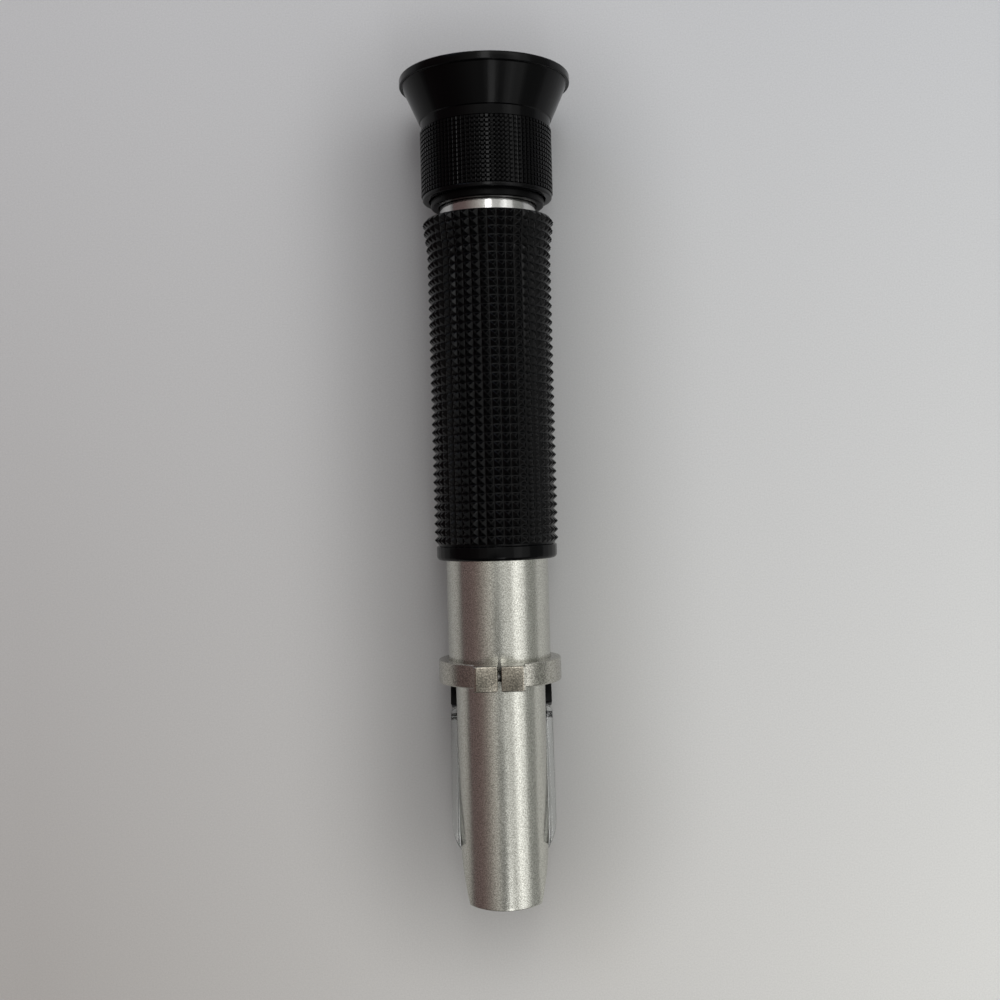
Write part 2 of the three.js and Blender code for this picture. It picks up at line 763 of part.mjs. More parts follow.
function lensCell() {
  const ring = turned(
    [
      [objectiveRadius - cellLedge, cellStart],
      [cellRadius, cellStart],
      [cellRadius, cellStart + cellLength],
      [objectiveRadius + pushFit, cellStart + cellLength],
      [objectiveRadius + pushFit, cellStart + cellLedgeLength],
      [objectiveRadius - cellLedge, cellStart + cellLedgeLength],
    ],
    innerSides,
  );
  const foot = block(
    [-cellFootWidth / 2, cellStart, cellFootZ],
    [cellFootWidth / 2, cellStart + cellLength, -objectiveRadius - cellWall / 2],
  );
  const cellEnd = cellStart + cellLength;
  const bore = bar(objectiveRadius - cellLedge, cellStart - overrun, cellEnd + overrun, innerSides);
  const screwHole = uprightBar(
    cellScrewRadius + pushFit, cellY, cellFootZ - overrun, cellFootZ + cellScrewEmbed + pushFit,
  );
  addPiece("lens_cell", carve({ add: [ring, foot], cut: [bore, screwHole] }), blackPlastic);
}

function cellScrew() {
  const headTop = stripFreeZ - pushFit;
  const geometry = carve({
    add: [
      uprightBar(cellScrewRadius, cellY, headTop - cellScrewHeadHeight / 2, cellFootZ + cellScrewEmbed),
      uprightBar(cellScrewHeadRadius, cellY, headTop - cellScrewHeadHeight, headTop),
    ],
  });
  addPiece("cell_screw", geometry, brightSteel);
}

function objective() {
  const glass = lens(objectiveRadius, objectiveStart, objectiveEdge, objectiveBulgeHeight, innerSides);
  addPiece("objective_lens", glass, opticalGlass);
  const from = objectiveStart + objectiveEdge + objectiveSeat;
  addPiece(
    "objective_retainer",
    tube(objectiveRadius - cellLedge, objectiveRadius, from, from + retainerLength, innerSides),
    brightSteel,
  );
}

// The stop stands midway between the strip and the neck
function apertureStop() {
  const from = (stripEnd + neckStart - stopLength) / 2;
  addPiece(
    "aperture_stop",
    tube(stopApertureRadius, boreRadius - pushFit, from, from + stopLength, innerSides),
    blackPlastic,
  );
}

// The grip's skin is a stack of rings, one point for each column of studs. Between two rings of the
// studded stretch each cell rises to a point in its middle, so that it makes a four-sided stud.
function studdedSleeve() {
  const rings = [];
  const ring = (radius, y, studAbove = 0) => rings.push({ radius, y, studAbove });
  const hemEnd = gripStart + hemLength;
  ring(gripBoreRadius, gripStart);
  for (let i = 0; i <= hemSteps; i++) {
    const turn = (i / hemSteps) * (Math.PI / 2);
    ring(hemRadius - hemCorner * (1 - Math.sin(turn)), gripStart + hemCorner * (1 - Math.cos(turn)));
  }
  ring(hemRadius, hemEnd - hemGroove);
  const pitch = (gripEnd - hemEnd) / studRows;
  for (let row = 0; row <= studRows; row++) {
    const y = hemEnd + row * pitch;
    const share = THREE.MathUtils.smoothstep(y, gripEnd - flareLength, gripEnd);
    ring(gripRootRadius + flareRise * share, y, row < studRows ? studHeight : 0);
  }
  const lipRadius = neckRadius + pushFit * 2;
  ring(lipRadius, gripEnd);
  ring(lipRadius, barrelEnd + pushFit);
  ring(gripBoreRadius, barrelEnd + pushFit);

  const positions = [];
  const faces = [];
  const point = (radius, turn, y) => {
    positions.push(radius * Math.sin(turn), y, radius * Math.cos(turn));
    return positions.length / 3 - 1;
  };
  const step = (Math.PI * 2) / roundSides;
  const rows = rings.map(({ radius, y }) =>
    Array.from({ length: roundSides }, (_, column) => point(radius, column * step, y)),
  );
  rings.forEach(({ radius, y, studAbove }, i) => {
    const next = rings[(i + 1) % rings.length];
    const upper = rows[(i + 1) % rings.length];
    for (let column = 0; column < roundSides; column++) {
      const right = (column + 1) % roundSides;
      const corners = [rows[i][column], rows[i][right], upper[right], upper[column]];
      if (studAbove > 0) {
        const top = point((radius + next.radius) / 2 + studAbove, (column + 1 / 2) * step, (y + next.y) / 2);
        corners.forEach((corner, k) => faces.push(corner, corners[(k + 1) % corners.length], top));
      } else {
        const [a, b, c, d] = corners;
        faces.push(a, b, c, a, c, d);
      }
    }
  });
  const geometry = new THREE.BufferGeometry();
  geometry.setAttribute("position", new THREE.Float32BufferAttribute(positions, 3));
  geometry.setIndex(faces);
  geometry.computeVertexNormals();
  return geometry;
}

function grip() {
  addPiece("grip", studdedSleeve(), blackRubber);
}

const reticleStart = neckStart + reticleShelf + pushFit;
const reticleEnd = reticleStart + reticleThickness;

function eyepieceNeck() {
  const outline = [
    [neckBoreRadius - reticleLedge, neckStart],
    [neckSpigotRadius, neckStart],
    [neckSpigotRadius, barrelEnd + pushFit],
    [neckRadius, barrelEnd + pushFit],
    [neckRadius, neckEnd],
    [neckBoreRadius, neckEnd],
    [neckBoreRadius, neckStart + reticleShelf],
    [neckBoreRadius - reticleLedge, neckStart + reticleShelf],
  ];
  addPiece("eyepiece_neck", turned(outline, eyepieceSides), satinAluminium);
}

function reticle() {
  const radius = neckBoreRadius - pushFit;
  addPiece("reticle", bar(radius, reticleStart, reticleEnd, innerSides), opticalGlass);
  const from = reticleEnd + pushFit;
  addPiece(
    "reticle_retainer",
    tube(neckBoreRadius - reticleLedge, radius, from, from + reticleRetainerLength, innerSides),
    blackPlastic,
  );
}

const lensTubeStart = focusStart - lensTubeReach;
const behindField = (width) => behindRing(lensRadius, width, fieldLensBulgeHeight);
const behindEye = (width) => behindRing(lensRadius, width, eyeLensBulgeHeight);
const fieldLensStart = lensTubeStart + lensLedgeLength + behindField(lensLedge + pushFit);
const spacerStart = fieldLensStart + fieldLensEdge + behindField(spacerWall);
const eyeRetainerStart = focusEnd - eyeRetainerLength;
const eyeLensStart = eyeRetainerStart - behindEye(eyeRetainerWall) - eyeLensEdge;
const spacerEnd = eyeLensStart - behindEye(spacerWall);

// The focusing tube is two walls joined at the eye end: the neck stands between them
function focusTube() {
  const outline = [
    [lensBoreRadius - lensLedge, lensTubeStart],
    [lensTubeRadius, lensTubeStart],
    [lensTubeRadius, focusWallStart],
    [focusBoreRadius, focusWallStart],
    [focusBoreRadius, focusStart],
    [focusRadius, focusStart],
    [focusRadius, focusEnd],
    [lensBoreRadius, focusEnd],
    [lensBoreRadius, lensTubeStart + lensLedgeLength],
    [lensBoreRadius - lensLedge, lensTubeStart + lensLedgeLength],
  ];
  addPiece("focus_tube", turned(outline, eyepieceSides), blackPlastic);
}

function eyepieceLenses() {
  const fieldLens = lens(lensRadius, fieldLensStart, fieldLensEdge, fieldLensBulgeHeight, innerSides);
  addPiece("field_lens", fieldLens, opticalGlass);
  const eyeLens = lens(lensRadius, eyeLensStart, eyeLensEdge, eyeLensBulgeHeight, innerSides);
  addPiece("eye_lens", eyeLens, opticalGlass);
  addPiece(
    "lens_spacer",
    tube(lensRadius - spacerWall, lensRadius, spacerStart, spacerEnd, innerSides),
    blackPlastic,
  );
  addPiece(
    "eye_lens_retainer",
    tube(lensRadius - eyeRetainerWall, lensRadius, eyeRetainerStart, focusEnd, innerSides),
    blackPlastic,
  );
}

function eyecup() {
  const floorStart = focusEnd + pushFit;
  const floorEnd = floorStart + cupFloor;
  const insideRadius = (y) => creaseRadius - cupWall + (coneRise * (y - creaseY)) / coneLength;
  const outline = [
    [sleeveBoreRadius + sleeveMouth, sleeveStart],
    [bandRadius, sleeveStart],
    [bandRadius, knurlStart],
    [knurlRadius, knurlStart + bandDrop],
    [knurlRadius, knurlEnd - bandDrop],
    [sleeveRadius, knurlEnd],
    [creaseRadius, creaseY],
    [coneRadius, lipStart],
    [rimRadius, lipStart],
    [rimRadius, overallLength - lipCorner],
    [rimRadius - lipCorner, overallLength],
    [insideRadius(overallLength) + lipCorner, overallLength],
    [insideRadius(overallLength), overallLength - lipCorner],
    [insideRadius(floorEnd), floorEnd],
    [eyeholeRadius, floorEnd],
    [eyeholeRadius, floorStart],
    [sleeveBoreRadius, floorStart],
    [sleeveBoreRadius, sleeveStart + sleeveMouthDepth],
    [sleeveBoreRadius + sleeveMouth, sleeveStart + sleeveMouthDepth],
  ];
  addPiece("eyecup", turned(outline, eyepieceSides), blackRubber);
}

prismHead();
measuringPrism();
prismSeal();
barrel();
clampRing();
clampScrew();
hingePin();
hingeYoke();
daylightPlate();
platePins();
calibrationBush();
calibrationScrew();
calibrationCap();
compensatorStrip();
stripScrew();
lensCell();
cellScrew();
objective();
apertureStop();
grip();
eyepieceNeck();
reticle();
focusTube();
eyepieceLenses();
eyecup();

// The eyecup's rim and the hinge ears' feet lie on the surface, and the middle of the length is at zero
instrument.position.set(0, -overallLength / 2, rimRadius);

export default instrument;
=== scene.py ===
import itertools
import json
import math
import bmesh
import bpy
import numpy as np
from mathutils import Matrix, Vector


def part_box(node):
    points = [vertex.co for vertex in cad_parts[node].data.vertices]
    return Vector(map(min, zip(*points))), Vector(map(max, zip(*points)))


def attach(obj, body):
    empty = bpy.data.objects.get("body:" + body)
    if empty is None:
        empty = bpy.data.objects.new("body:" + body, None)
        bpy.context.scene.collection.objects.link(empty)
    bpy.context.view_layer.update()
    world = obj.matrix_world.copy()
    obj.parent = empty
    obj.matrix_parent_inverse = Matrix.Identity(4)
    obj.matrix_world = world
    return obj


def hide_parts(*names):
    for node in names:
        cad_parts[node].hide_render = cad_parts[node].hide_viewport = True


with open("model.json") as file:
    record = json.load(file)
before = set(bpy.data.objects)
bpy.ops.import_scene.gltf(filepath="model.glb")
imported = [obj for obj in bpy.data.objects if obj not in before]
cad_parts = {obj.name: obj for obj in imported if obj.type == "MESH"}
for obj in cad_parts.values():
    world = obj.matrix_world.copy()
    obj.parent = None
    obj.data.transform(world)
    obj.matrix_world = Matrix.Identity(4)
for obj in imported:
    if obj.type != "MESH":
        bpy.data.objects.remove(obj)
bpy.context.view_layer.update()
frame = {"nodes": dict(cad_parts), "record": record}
mm = 0.001
play = 0.05 * mm  # the room left round a pin, or between two faces that nearly touch
overrun = 9 * mm  # how far a long cutting tool reaches past what it cuts

# Where the instrument lies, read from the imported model
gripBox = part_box("grip")
axisZ = (gripBox[0].z + gripBox[1].z) / 2
overallBox = {"start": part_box("prism_head")[0].y, "end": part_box("eyecup")[1].y}
overallLength = overallBox["end"] - overallBox["start"]
print("frame: axis at", round(axisZ / mm, 2), "mm, length", round(overallLength / mm, 1))


# The camera stands above the instrument, slightly turned and tilted, as the photo was taken
camera = {
    "place": (3.26 * mm, -1.6 * mm, 267.55 * mm),
    "lens": 45.9,
    "pitch": -0.157,  # degrees, towards the prism end
    "yaw": 0.54,  # degrees, towards -X
    "roll": -1.582,  # degrees, clockwise seen from above
}


def makeCamera():
    data = bpy.data.cameras.new("photoCamera")
    data.lens = camera["lens"]
    data.clip_start = 0.01
    data.clip_end = 20
    item = bpy.data.objects.new("photoCamera", data)
    bpy.context.scene.collection.objects.link(item)
    item.location = camera["place"]
    item.rotation_mode = "XYZ"
    item.rotation_euler = [math.radians(camera[turn]) for turn in ("pitch", "yaw", "roll")]
    bpy.context.scene.camera = item


makeCamera()
print("camera done")


# Shapes

# Joins the points of a grid, row by row, into four-sided faces; a wrapped direction closes on itself.
def gridFaces(rows, columns, wrapRows=False, wrapColumns=True):
    index = np.arange(rows * columns).reshape(rows, columns)
    if wrapRows:
        index = np.vstack([index, index[:1]])
    if wrapColumns:
        index = np.hstack([index, index[:, :1]])
    return np.stack([index[:-1, :-1], index[:-1, 1:], index[1:, 1:], index[1:, :-1]], -1).reshape(-1, 4)


# Each corner (a, b, radius) of a closed outline becomes an arc that touches both its sides.
def rounded(corners, steps=5):
    places = np.array([corner[:2] for corner in corners], float)
    points = []
    for i, (a, b, radius) in enumerate(corners):
        here, before, after = places[i], places[i - 1], places[(i + 1) % len(corners)]
        if radius <= 0:
            points.append(here[None])
            continue
        back, ahead = before - here, after - here
        backLength, aheadLength = np.linalg.norm(back), np.linalg.norm(ahead)
        back, ahead = back / backLength, ahead / aheadLength
        half = math.acos(np.clip(back @ ahead, -1, 1)) / 2
        reach = min(radius / math.tan(half), 0.49 * backLength, 0.49 * aheadLength)
        radius = reach * math.tan(half)
        middle = back + ahead
        centre = here + middle / np.linalg.norm(middle) * radius / math.sin(half)
        start, end = here + back * reach - centre, here + ahead * reach - centre
        sweep = math.pi - 2 * half
        share = np.linspace(0, 1, steps + 1)[:, None]
        arc = np.sin((1 - share) * sweep) * start + np.sin(share * sweep) * end
        points.append(centre + arc / math.sin(sweep))
    return np.concatenate(points)


# The angles of the columns around a full turn.
def fullTurn(columns):
    return np.arange(columns) / columns * 2 * np.pi


# A round outline of a given radius about a centre.
def circle(radius, centre, columns=32):
    turn = fullTurn(columns)
    return np.stack([centre[0] + radius * np.cos(turn), centre[1] + radius * np.sin(turn)], -1)


# The inward direction at each point of a closed outline: its tangent, turned a quarter towards the inside.
def inward(outline):
    tangent = np.roll(outline, -1, 0) - np.roll(outline, 1, 0)
    length = np.linalg.norm(tangent, axis=1, keepdims=True)
    tangent = tangent / np.maximum(length, 1e-12)
    following = np.roll(outline, -1, 0)
    area = np.sum(outline[:, 0] * following[:, 1] - following[:, 0] * outline[:, 1])
    return np.sign(area) * np.stack([-tangent[:, 1], tangent[:, 0]], -1)


# An outline extruded from one depth to another; near both ends it draws in along a quarter circle.
def prism(outline, start, end, edge, steps=4):
    turn = np.linspace(0, np.pi / 2, steps + 1)
    inset = np.concatenate([edge * (1 - np.sin(turn)), edge * (1 - np.sin(turn[::-1]))])
    depth = np.concatenate([start + edge * (1 - np.cos(turn)), end - edge * (1 - np.cos(turn[::-1]))])
    rings = outline[None] + inward(outline)[None] * inset[:, None, None]
    depths = np.broadcast_to(depth[:, None, None], rings.shape[:2] + (1,))
    points = np.concatenate([rings, depths], -1).reshape(-1, 3)
    count, last = len(outline), (len(inset) - 1) * len(outline)
    faces = gridFaces(len(inset), count).tolist()
    return points, faces + [list(range(count)), list(range(last, last + count))]


# Points at a radius and a place along the optical axis, turned about it from straight up towards +X.
def aboutAxis(radius, y, turn):
    return np.stack([radius * np.sin(turn), y + 0 * turn, axisZ + radius * np.cos(turn)], -1)


# An outline of (radius, y) points turned about the optical axis. One that isn't closed has both ends
# on the axis, where each merges to a point.
def turned(outline, columns, closed=True):
    points = aboutAxis(outline[:, :1], outline[:, 1:], fullTurn(columns))
    return points.reshape(-1, 3), gridFaces(len(outline), columns, wrapRows=closed).tolist()


# Places for an outline (a, b) and its depth c
def acrossX(points):
    return points[:, [2, 0, 1]]


def alongY(points):
    return points[:, [0, 2, 1]]


# The slope under the head, from the mount on the daylight plate, whose outside lies this far below it:
# s runs along it from the tip, d into the metal.
plateFace = 2.3 * mm


def readSlope():
    mounts = {mount["name"]: mount for mount in frame["record"]["mounts"]}
    plate = mounts["daylight_plate_face"]
    depth = -np.array(plate["axis"], float)
    along = np.array([0, depth[2], -depth[1]])
    onFace = np.array(plate["pos_m"], float) + depth * plateFace
    reach = (onFace[1] - overallBox["start"]) / along[1]
    return {"along": along, "depth": depth, "tip": onFace - along * reach}


slope = readSlope()


def onSlope(points):
    s, d = points[:, 1:2], points[:, 2:3]
    return slope["tip"] + s * slope["along"] + d * slope["depth"] + points[:, :1] * np.array([1.0, 0, 0])


def slopeHeight(y):
    return slope["tip"][2] + (y - slope["tip"][1]) * slope["along"][2] / slope["along"][1]


# Makes an object of points and faces, with doubles merged and its faces turned outwards.
def makeObject(name, points, faces, smooth=35):
    mesh = bpy.data.meshes.new(name)
    mesh.from_pydata(np.asarray(points).tolist(), [], faces)
    work = bmesh.new()
    work.from_mesh(mesh)
    bmesh.ops.remove_doubles(work, verts=work.verts, dist=1e-7)
    bmesh.ops.dissolve_degenerate(work, edges=work.edges, dist=1e-8)
    bmesh.ops.recalc_face_normals(work, faces=work.faces)
    work.to_mesh(mesh)
    work.free()
    item = bpy.data.objects.new(name, mesh)
    bpy.context.scene.collection.objects.link(item)
    shade(item, smooth)
    return item


# Smooth, but with an edge wherever two faces meet at more than the given degrees.
def shade(item, smooth):
    item.data.polygons.foreach_set("use_smooth", np.full(len(item.data.polygons), smooth > 0))
    if smooth > 0:
        item.data.set_sharp_from_angle(angle=math.radians(smooth))
    item.data.update()


# An outline of (a, b) points drawn from one depth to another, and put in its place.
def extrude(name, outline, start, end, edge, place, steps=4, smooth=35):
    points, faces = prism(outline, start, end, edge, steps)
    return makeObject(name, place(points), faces, smooth)


# A plain round bar along the optical axis.
def rod(name, radius, start, end, columns):
    outline = np.array([(0, start), (radius, start), (radius, end), (0, end)])
    return makeObject(name, *turned(outline, columns, closed=False))


# Joins and cuts solids, and keeps the result as one mesh.
def carve(item, joins=(), cuts=(), smooth=35):
    for others, operation in ((joins, "UNION"), (cuts, "DIFFERENCE")):
        for other in others:
            modifier = item.modifiers.new(operation, "BOOLEAN")
            modifier.operation = operation
            modifier.solver = "MANIFOLD"
            modifier.object = other
    evaluated = item.evaluated_get(bpy.context.evaluated_depsgraph_get())
    mesh = bpy.data.meshes.new_from_object(evaluated)
    item.modifiers.clear()
    old = item.data
    item.data = mesh
    mesh.name = item.name
    bpy.data.meshes.remove(old)
    for other in (*joins, *cuts):
        bpy.data.objects.remove(other)
    shade(item, smooth)
    return item


# Gives a finished object its material and body, and hides the CAD node that it stands for.
def dress(item, finish, body, node):
    item.data.materials.clear()
    item.data.materials.append(materials[finish])
    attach(item, body)
    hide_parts(node)


# Reads where a round CAD node lies along the axis, and its largest radius.
def reach(node):
    low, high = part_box(node)
    return low.y, high.y, (high.x - low.x) / 2


# Reads where the pin of the plate's hinge lies: its y and z.
def hingePlace():
    low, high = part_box("hinge_pin")
    return (low.y + high.y) / 2, (low.z + high.z) / 2


# Materials

# Adds a shader node, with its settings and with a value or a link on each named input.
def addNode(tree, kind, values=None, **settings):
    item = tree.nodes.new("ShaderNode" + kind)
    for name, value in settings.items():
        setattr(item, name, value)
    for name, value in (values or {}).items():
        if isinstance(value, bpy.types.NodeSocket):
            tree.links.new(value, item.inputs[name])
        else:
            item.inputs[name].default_value = value
    return item


# One step of arithmetic on one or two values, and its result.
def addMath(tree, operation, *values, **settings):
    item = addNode(tree, "Math", dict(enumerate(values)), operation=operation, **settings)
    return item.outputs[0]


# A value brought from one range to another; the second range is 0 to 1 unless it is given.
def addRange(tree, value, low, high, toLow=0.0, toHigh=1.0, **settings):
    values = {"Value": value, "From Min": low, "From Max": high, "To Min": toLow, "To Max": toHigh}
    return addNode(tree, "MapRange", values, **settings).outputs["Result"]


# A colour ramp with stops of (place, colour).
def addRamp(tree, factor, stops):
    item = addNode(tree, "ValToRGB", {"Fac": factor})
    while len(item.color_ramp.elements) < len(stops):
        item.color_ramp.elements.new(0.5)
    for element, (place, colour) in zip(item.color_ramp.elements, stops):
        element.position = place
        element.color = (*colour, 1)
    return item


def newGroup(name, inputs, outputs):
    group = bpy.data.node_groups.new(name, "ShaderNodeTree")
    for label, value in inputs.items():
        socket = group.interface.new_socket(label, in_out="INPUT", socket_type="NodeSocketFloat")
        socket.default_value = value
    for label, kind in outputs.items():
        group.interface.new_socket(label, in_out="OUTPUT", socket_type="NodeSocket" + kind)
    return group, group.nodes.new("NodeGroupInput"), group.nodes.new("NodeGroupOutput")


# Noise in the object's own coordinates, and the same with more contrast, as a value from 0 to 1.
def addNoise(group, scale, detail, roughness, contrast):
    place = addNode(group, "TexCoord").outputs["Object"]
    values = {"Vector": place, "Scale": scale, "Detail": detail, "Roughness": roughness}
    noise = addNode(group, "TexNoise", values).outputs["Fac"]
    spread = addMath(group, "MULTIPLY", addMath(group, "SUBTRACT", noise, 0.5), contrast)
    return noise, addMath(group, "ADD", spread, 0.5, use_clamp=True)


# Fine grain: a speckle from 0 to 1, and a normal that follows it.
def makeGrainGroup():
    group, given, made = newGroup(
        "fineGrain",
        {"Grains per metre": 3500, "Height": 0.00002, "Contrast": 1.0},
        {"Speckle": "Float", "Normal": "Vector"},
    )
    scale, height, contrast = (given.outputs[name] for name in ("Grains per metre", "Height", "Contrast"))
    noise, speckle = addNoise(group, scale, 2.0, 0.6, contrast)
    bump = addNode(group, "Bump", {"Strength": 1.0, "Distance": height, "Height": noise})
    group.links.new(speckle, made.inputs["Speckle"])
    group.links.new(bump.outputs["Normal"], made.inputs["Normal"])
    return group


# Slow waves over a moulded or polished face, as a value from 0 to 1.
def makeCloudGroup():
    group, given, made = newGroup("handling", {"Patches per metre": 120, "Contrast": 2.0}, {"Cloud": "Float"})
    scale, contrast = given.outputs["Patches per metre"], given.outputs["Contrast"]
    cloud = addNoise(group, scale, 4.0, 0.55, contrast)[1]
    group.links.new(cloud, made.inputs["Cloud"])
    return group


grainGroup = makeGrainGroup()
cloudGroup = makeCloudGroup()

# Each finish: the shader's own numbers, the grain (grains per metre, height, contrast), the colours of dark
# and of light grain, and the range of roughness. The lugs' faces, at the top of the ring, are darker: partly
# their rougher cast finish, partly painted shade that stands in for the dark overhead reflection.
finishes = {
    "satin_aluminium": {
        "shader": {"Metallic": 1.0},
        "grain": (4900, 0.000007, 2.4),
        "colours": ((0.37, 0.367, 0.33), (0.74, 0.74, 0.685)),
        "roughness": (0.215, 0.26),
    },
    "cast_aluminium": {
        "shader": {"Metallic": 1.0},
        "grain": (3600, 0.00003, 2.6),
        "colours": ((0.28, 0.272, 0.242), (0.59, 0.578, 0.525)),
        "roughness": (0.18, 0.24),
        "top": {
            "height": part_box("clamp_ring")[1].z,
            "band": (0.15 * mm, 0.05 * mm),
            "shares": (0.74, 0.70, 0.655),
        },
        "slot": "satin_aluminium",
    },
    "turned_aluminium": {
        "shader": {"Metallic": 1.0},
        "grain": (2200, 0.000012, 1.5),
        "colours": ((0.50, 0.495, 0.48), (0.57, 0.57, 0.56)),
        "roughness": (0.12, 0.18),
        "slot": "satin_aluminium",
    },
    "black_rubber": {
        "shader": {"Specular IOR Level": 0.12},
        "grain": (4000, 0.000004, 2.0),
        "colours": ((0.0003, 0.0003, 0.0006), (0.0007, 0.0008, 0.0012)),
        "roughness": (0.13, 0.22),
    },
    "black_plastic": {
        "shader": {"Specular IOR Level": 0.08},
        "grain": (4000, 0.000004, 2.0),
        "colours": ((0.0008, 0.0008, 0.0010), (0.0018, 0.0018, 0.0020)),
        "roughness": (0.24, 0.36),
    },
    "clear_plastic": {
        "shader": {"IOR": 1.49, "Transmission Weight": 1.0},
        "grain": (700, 0.000003, 1.5),
        "colours": ((0.93, 0.96, 0.95), (0.97, 0.985, 0.98)),
        "roughness": (0.03, 0.09),
    },
    "optical_glass": {
        "shader": {"IOR": 1.52, "Transmission Weight": 1.0, "Coat Weight": 0.3},
        "grain": (300, 0.0000002, 1.0),
        "colours": ((0.92, 0.96, 0.98), (0.96, 0.98, 0.99)),
        "roughness": (0.0, 0.02),
    },
    "bright_steel": {
        "shader": {"Metallic": 1.0},
        "grain": (5000, 0.000006, 2.0),
        "colours": ((0.38, 0.37, 0.36), (0.55, 0.55, 0.54)),
        "roughness": (0.22, 0.36),
    },
    "bimetal": {
        "shader": {"Metallic": 1.0},
        "grain": (4200, 0.000006, 2.0),
        "colours": ((0.46, 0.33, 0.15), (0.62, 0.48, 0.24)),
        "roughness": (0.28, 0.42),
    },
    "grey_seal": {
        "shader": {"Specular IOR Level": 0.4},
        "grain": (5000, 0.000008, 2.0),
        "colours": ((0.045, 0.046, 0.047), (0.075, 0.076, 0.078)),
        "roughness": (0.5, 0.68),
    },
}


def makeMaterial(name, finish):
    material = bpy.data.materials.new(name)
    material.use_nodes = True
    tree = material.node_tree
    shader = tree.nodes["Principled BSDF"]
    for label, value in finish["shader"].items():
        shader.inputs[label].default_value = value
    settings = dict(zip(("Grains per metre", "Height", "Contrast"), finish["grain"]))
    grain = addNode(tree, "Group", settings, node_tree=grainGroup)
    cloud = addNode(tree, "Group", {"Patches per metre": 120, "Contrast": 2.0}, node_tree=cloudGroup)
    dark, light = finish["colours"]
    colour = addRamp(tree, grain.outputs["Speckle"], [(0.15, dark), (0.85, light)]).outputs["Color"]
    # Above a height near the top of the ring the colour is darkened: partly the lugs' rougher cast finish,
    # partly painted shade for the dark overhead reflection.
    if "top" in finish:
        top = finish["top"]
        start, end = (top["height"] - below for below in top["band"])
        place = addNode(tree, "SeparateXYZ", {"Vector": addNode(tree, "TexCoord").outputs["Object"]})
        share = addRange(tree, place.outputs["Z"], start, end)
        values = {"Fac": share, "Color1": colour, "Color2": (*top["shares"], 1)}
        colour = addNode(tree, "MixRGB", values, blend_type="MULTIPLY").outputs["Color"]
    tree.links.new(colour, shader.inputs["Base Color"])
    rough = addRange(tree, cloud.outputs["Cloud"], 0.0, 1.0, *finish["roughness"])
    tree.links.new(rough, shader.inputs["Roughness"])
    tree.links.new(grain.outputs["Normal"], shader.inputs["Normal"])
    return material


materials = {name: makeMaterial(name, finish) for name, finish in finishes.items()}
for part in frame["record"]["subparts"]:  # the inner pieces keep their CAD shape
    node = frame["nodes"][part["node"]]
    node.data.materials.clear()
    node.data.materials.append(materials[part["material_slot"]])
print("materials done")


# Prism head: a round bar whose underside is cut away by the slope. Its section at each place along the
# axis is an arc, a small fillet at each side and a chord on the slope; its tip is drawn in by an edge.
head = {
    "tipArc": 75 * mm, "edge": 0.22 * mm, "fillet": 0.35 * mm, "straightened": 14 * mm, "fit": 0.15 * mm,
    "bore": 4.4 * mm, "rows": 120, "edgeRows": 5, "arcPoints": 49, "filletPoints": 7, "chordPoints": 13,
    "capColumns": 17,
}


def headOutline(y, radius, lift):
    stretch = np.clip(1 - (y - overallBox["start"]) / head["straightened"], 0, 1)

    def sag(x):
        return stretch * (head["tipArc"] - np.sqrt(head["tipArc"] ** 2 - x**2))

    fillet = head["fillet"]
    cornerX = np.full_like(y, radius * 0.8)
    for _ in range(3):  # the slope's height at the corner depends on where the rounded tip puts it
        low = np.maximum(slopeHeight(y + sag(cornerX)) + lift - axisZ + fillet, fillet - radius)
        cornerX = np.sqrt(np.maximum((radius - fillet) ** 2 - low**2, 0))
    side = np.arctan2(cornerX, low)
    arc = side * np.linspace(0, 1, head["arcPoints"])
    arcX, arcZ = radius * np.sin(arc), radius * np.cos(arc)
    turn = side + (np.pi - side) * np.linspace(0, 1, head["filletPoints"])[1:]
    cornerPointX, cornerPointZ = cornerX + fillet * np.sin(turn), low + fillet * np.cos(turn)
    chordX = cornerX * np.linspace(1, 0, head["chordPoints"])[1:]
    chordZ = slopeHeight(y + sag(chordX)) + lift - axisZ
    chordZ = np.maximum(chordZ, -radius)
    x = np.concatenate([arcX, cornerPointX, chordX], 1)
    z = np.concatenate([arcZ, cornerPointZ, chordZ], 1)
    return x, y + sag(x), z


def makeHead():
    start, end, radius = reach("prism_head")
    edge, rows, capColumns = head["edge"], head["rows"], head["capColumns"]
    turn = np.linspace(0, np.pi / 2, head["edgeRows"] + 1)
    inset = np.concatenate([edge * (1 - np.sin(turn)), np.zeros(rows)])[:, None]
    straight = np.linspace(start + edge, end, rows + 1)[1:]
    y = np.concatenate([start + edge * (1 - np.cos(turn)), straight])[:, None]
    x, along, z = headOutline(y, radius - inset, inset)
    halves = ((x, -1), (along, 1), (z, 1))
    whole = [np.concatenate([part, sign * part[:, -2:0:-1]], 1) for part, sign in halves]
    points = np.stack([whole[0], whole[1], whole[2] + axisZ], -1).reshape(-1, 3)
    columns = whole[0].shape[1]
    faces = gridFaces(len(y), columns).tolist()
    capX = x[0][:, None] * np.linspace(-1, 1, capColumns)
    capY = start + head["tipArc"] - np.sqrt(head["tipArc"] ** 2 - capX**2)
    cap = np.stack([capX, capY, np.broadcast_to(z[0][:, None] + axisZ, capX.shape)], -1).reshape(-1, 3)
    capFaces = (gridFaces(x.shape[1], capColumns, wrapColumns=False) + len(points)).tolist()
    faces += capFaces + [list(range((len(y) - 1) * columns, len(y) * columns))]
    return np.concatenate([points, cap]), faces


# The prism and its seal, in the slope's own directions: along it from the tip, and into the metal
glass = {
    "width": 12 * mm, "face": 24.4 * mm, "setback": 8.2 * mm, "nose": 1.6 * mm, "edge": 0.12 * mm,
    "seal": 0.9 * mm, "sealDepth": 0.8 * mm, "sealEdge": 0.15 * mm, "sealCorner": 0.6 * mm,
    "pocketReach": 3 * mm,
}


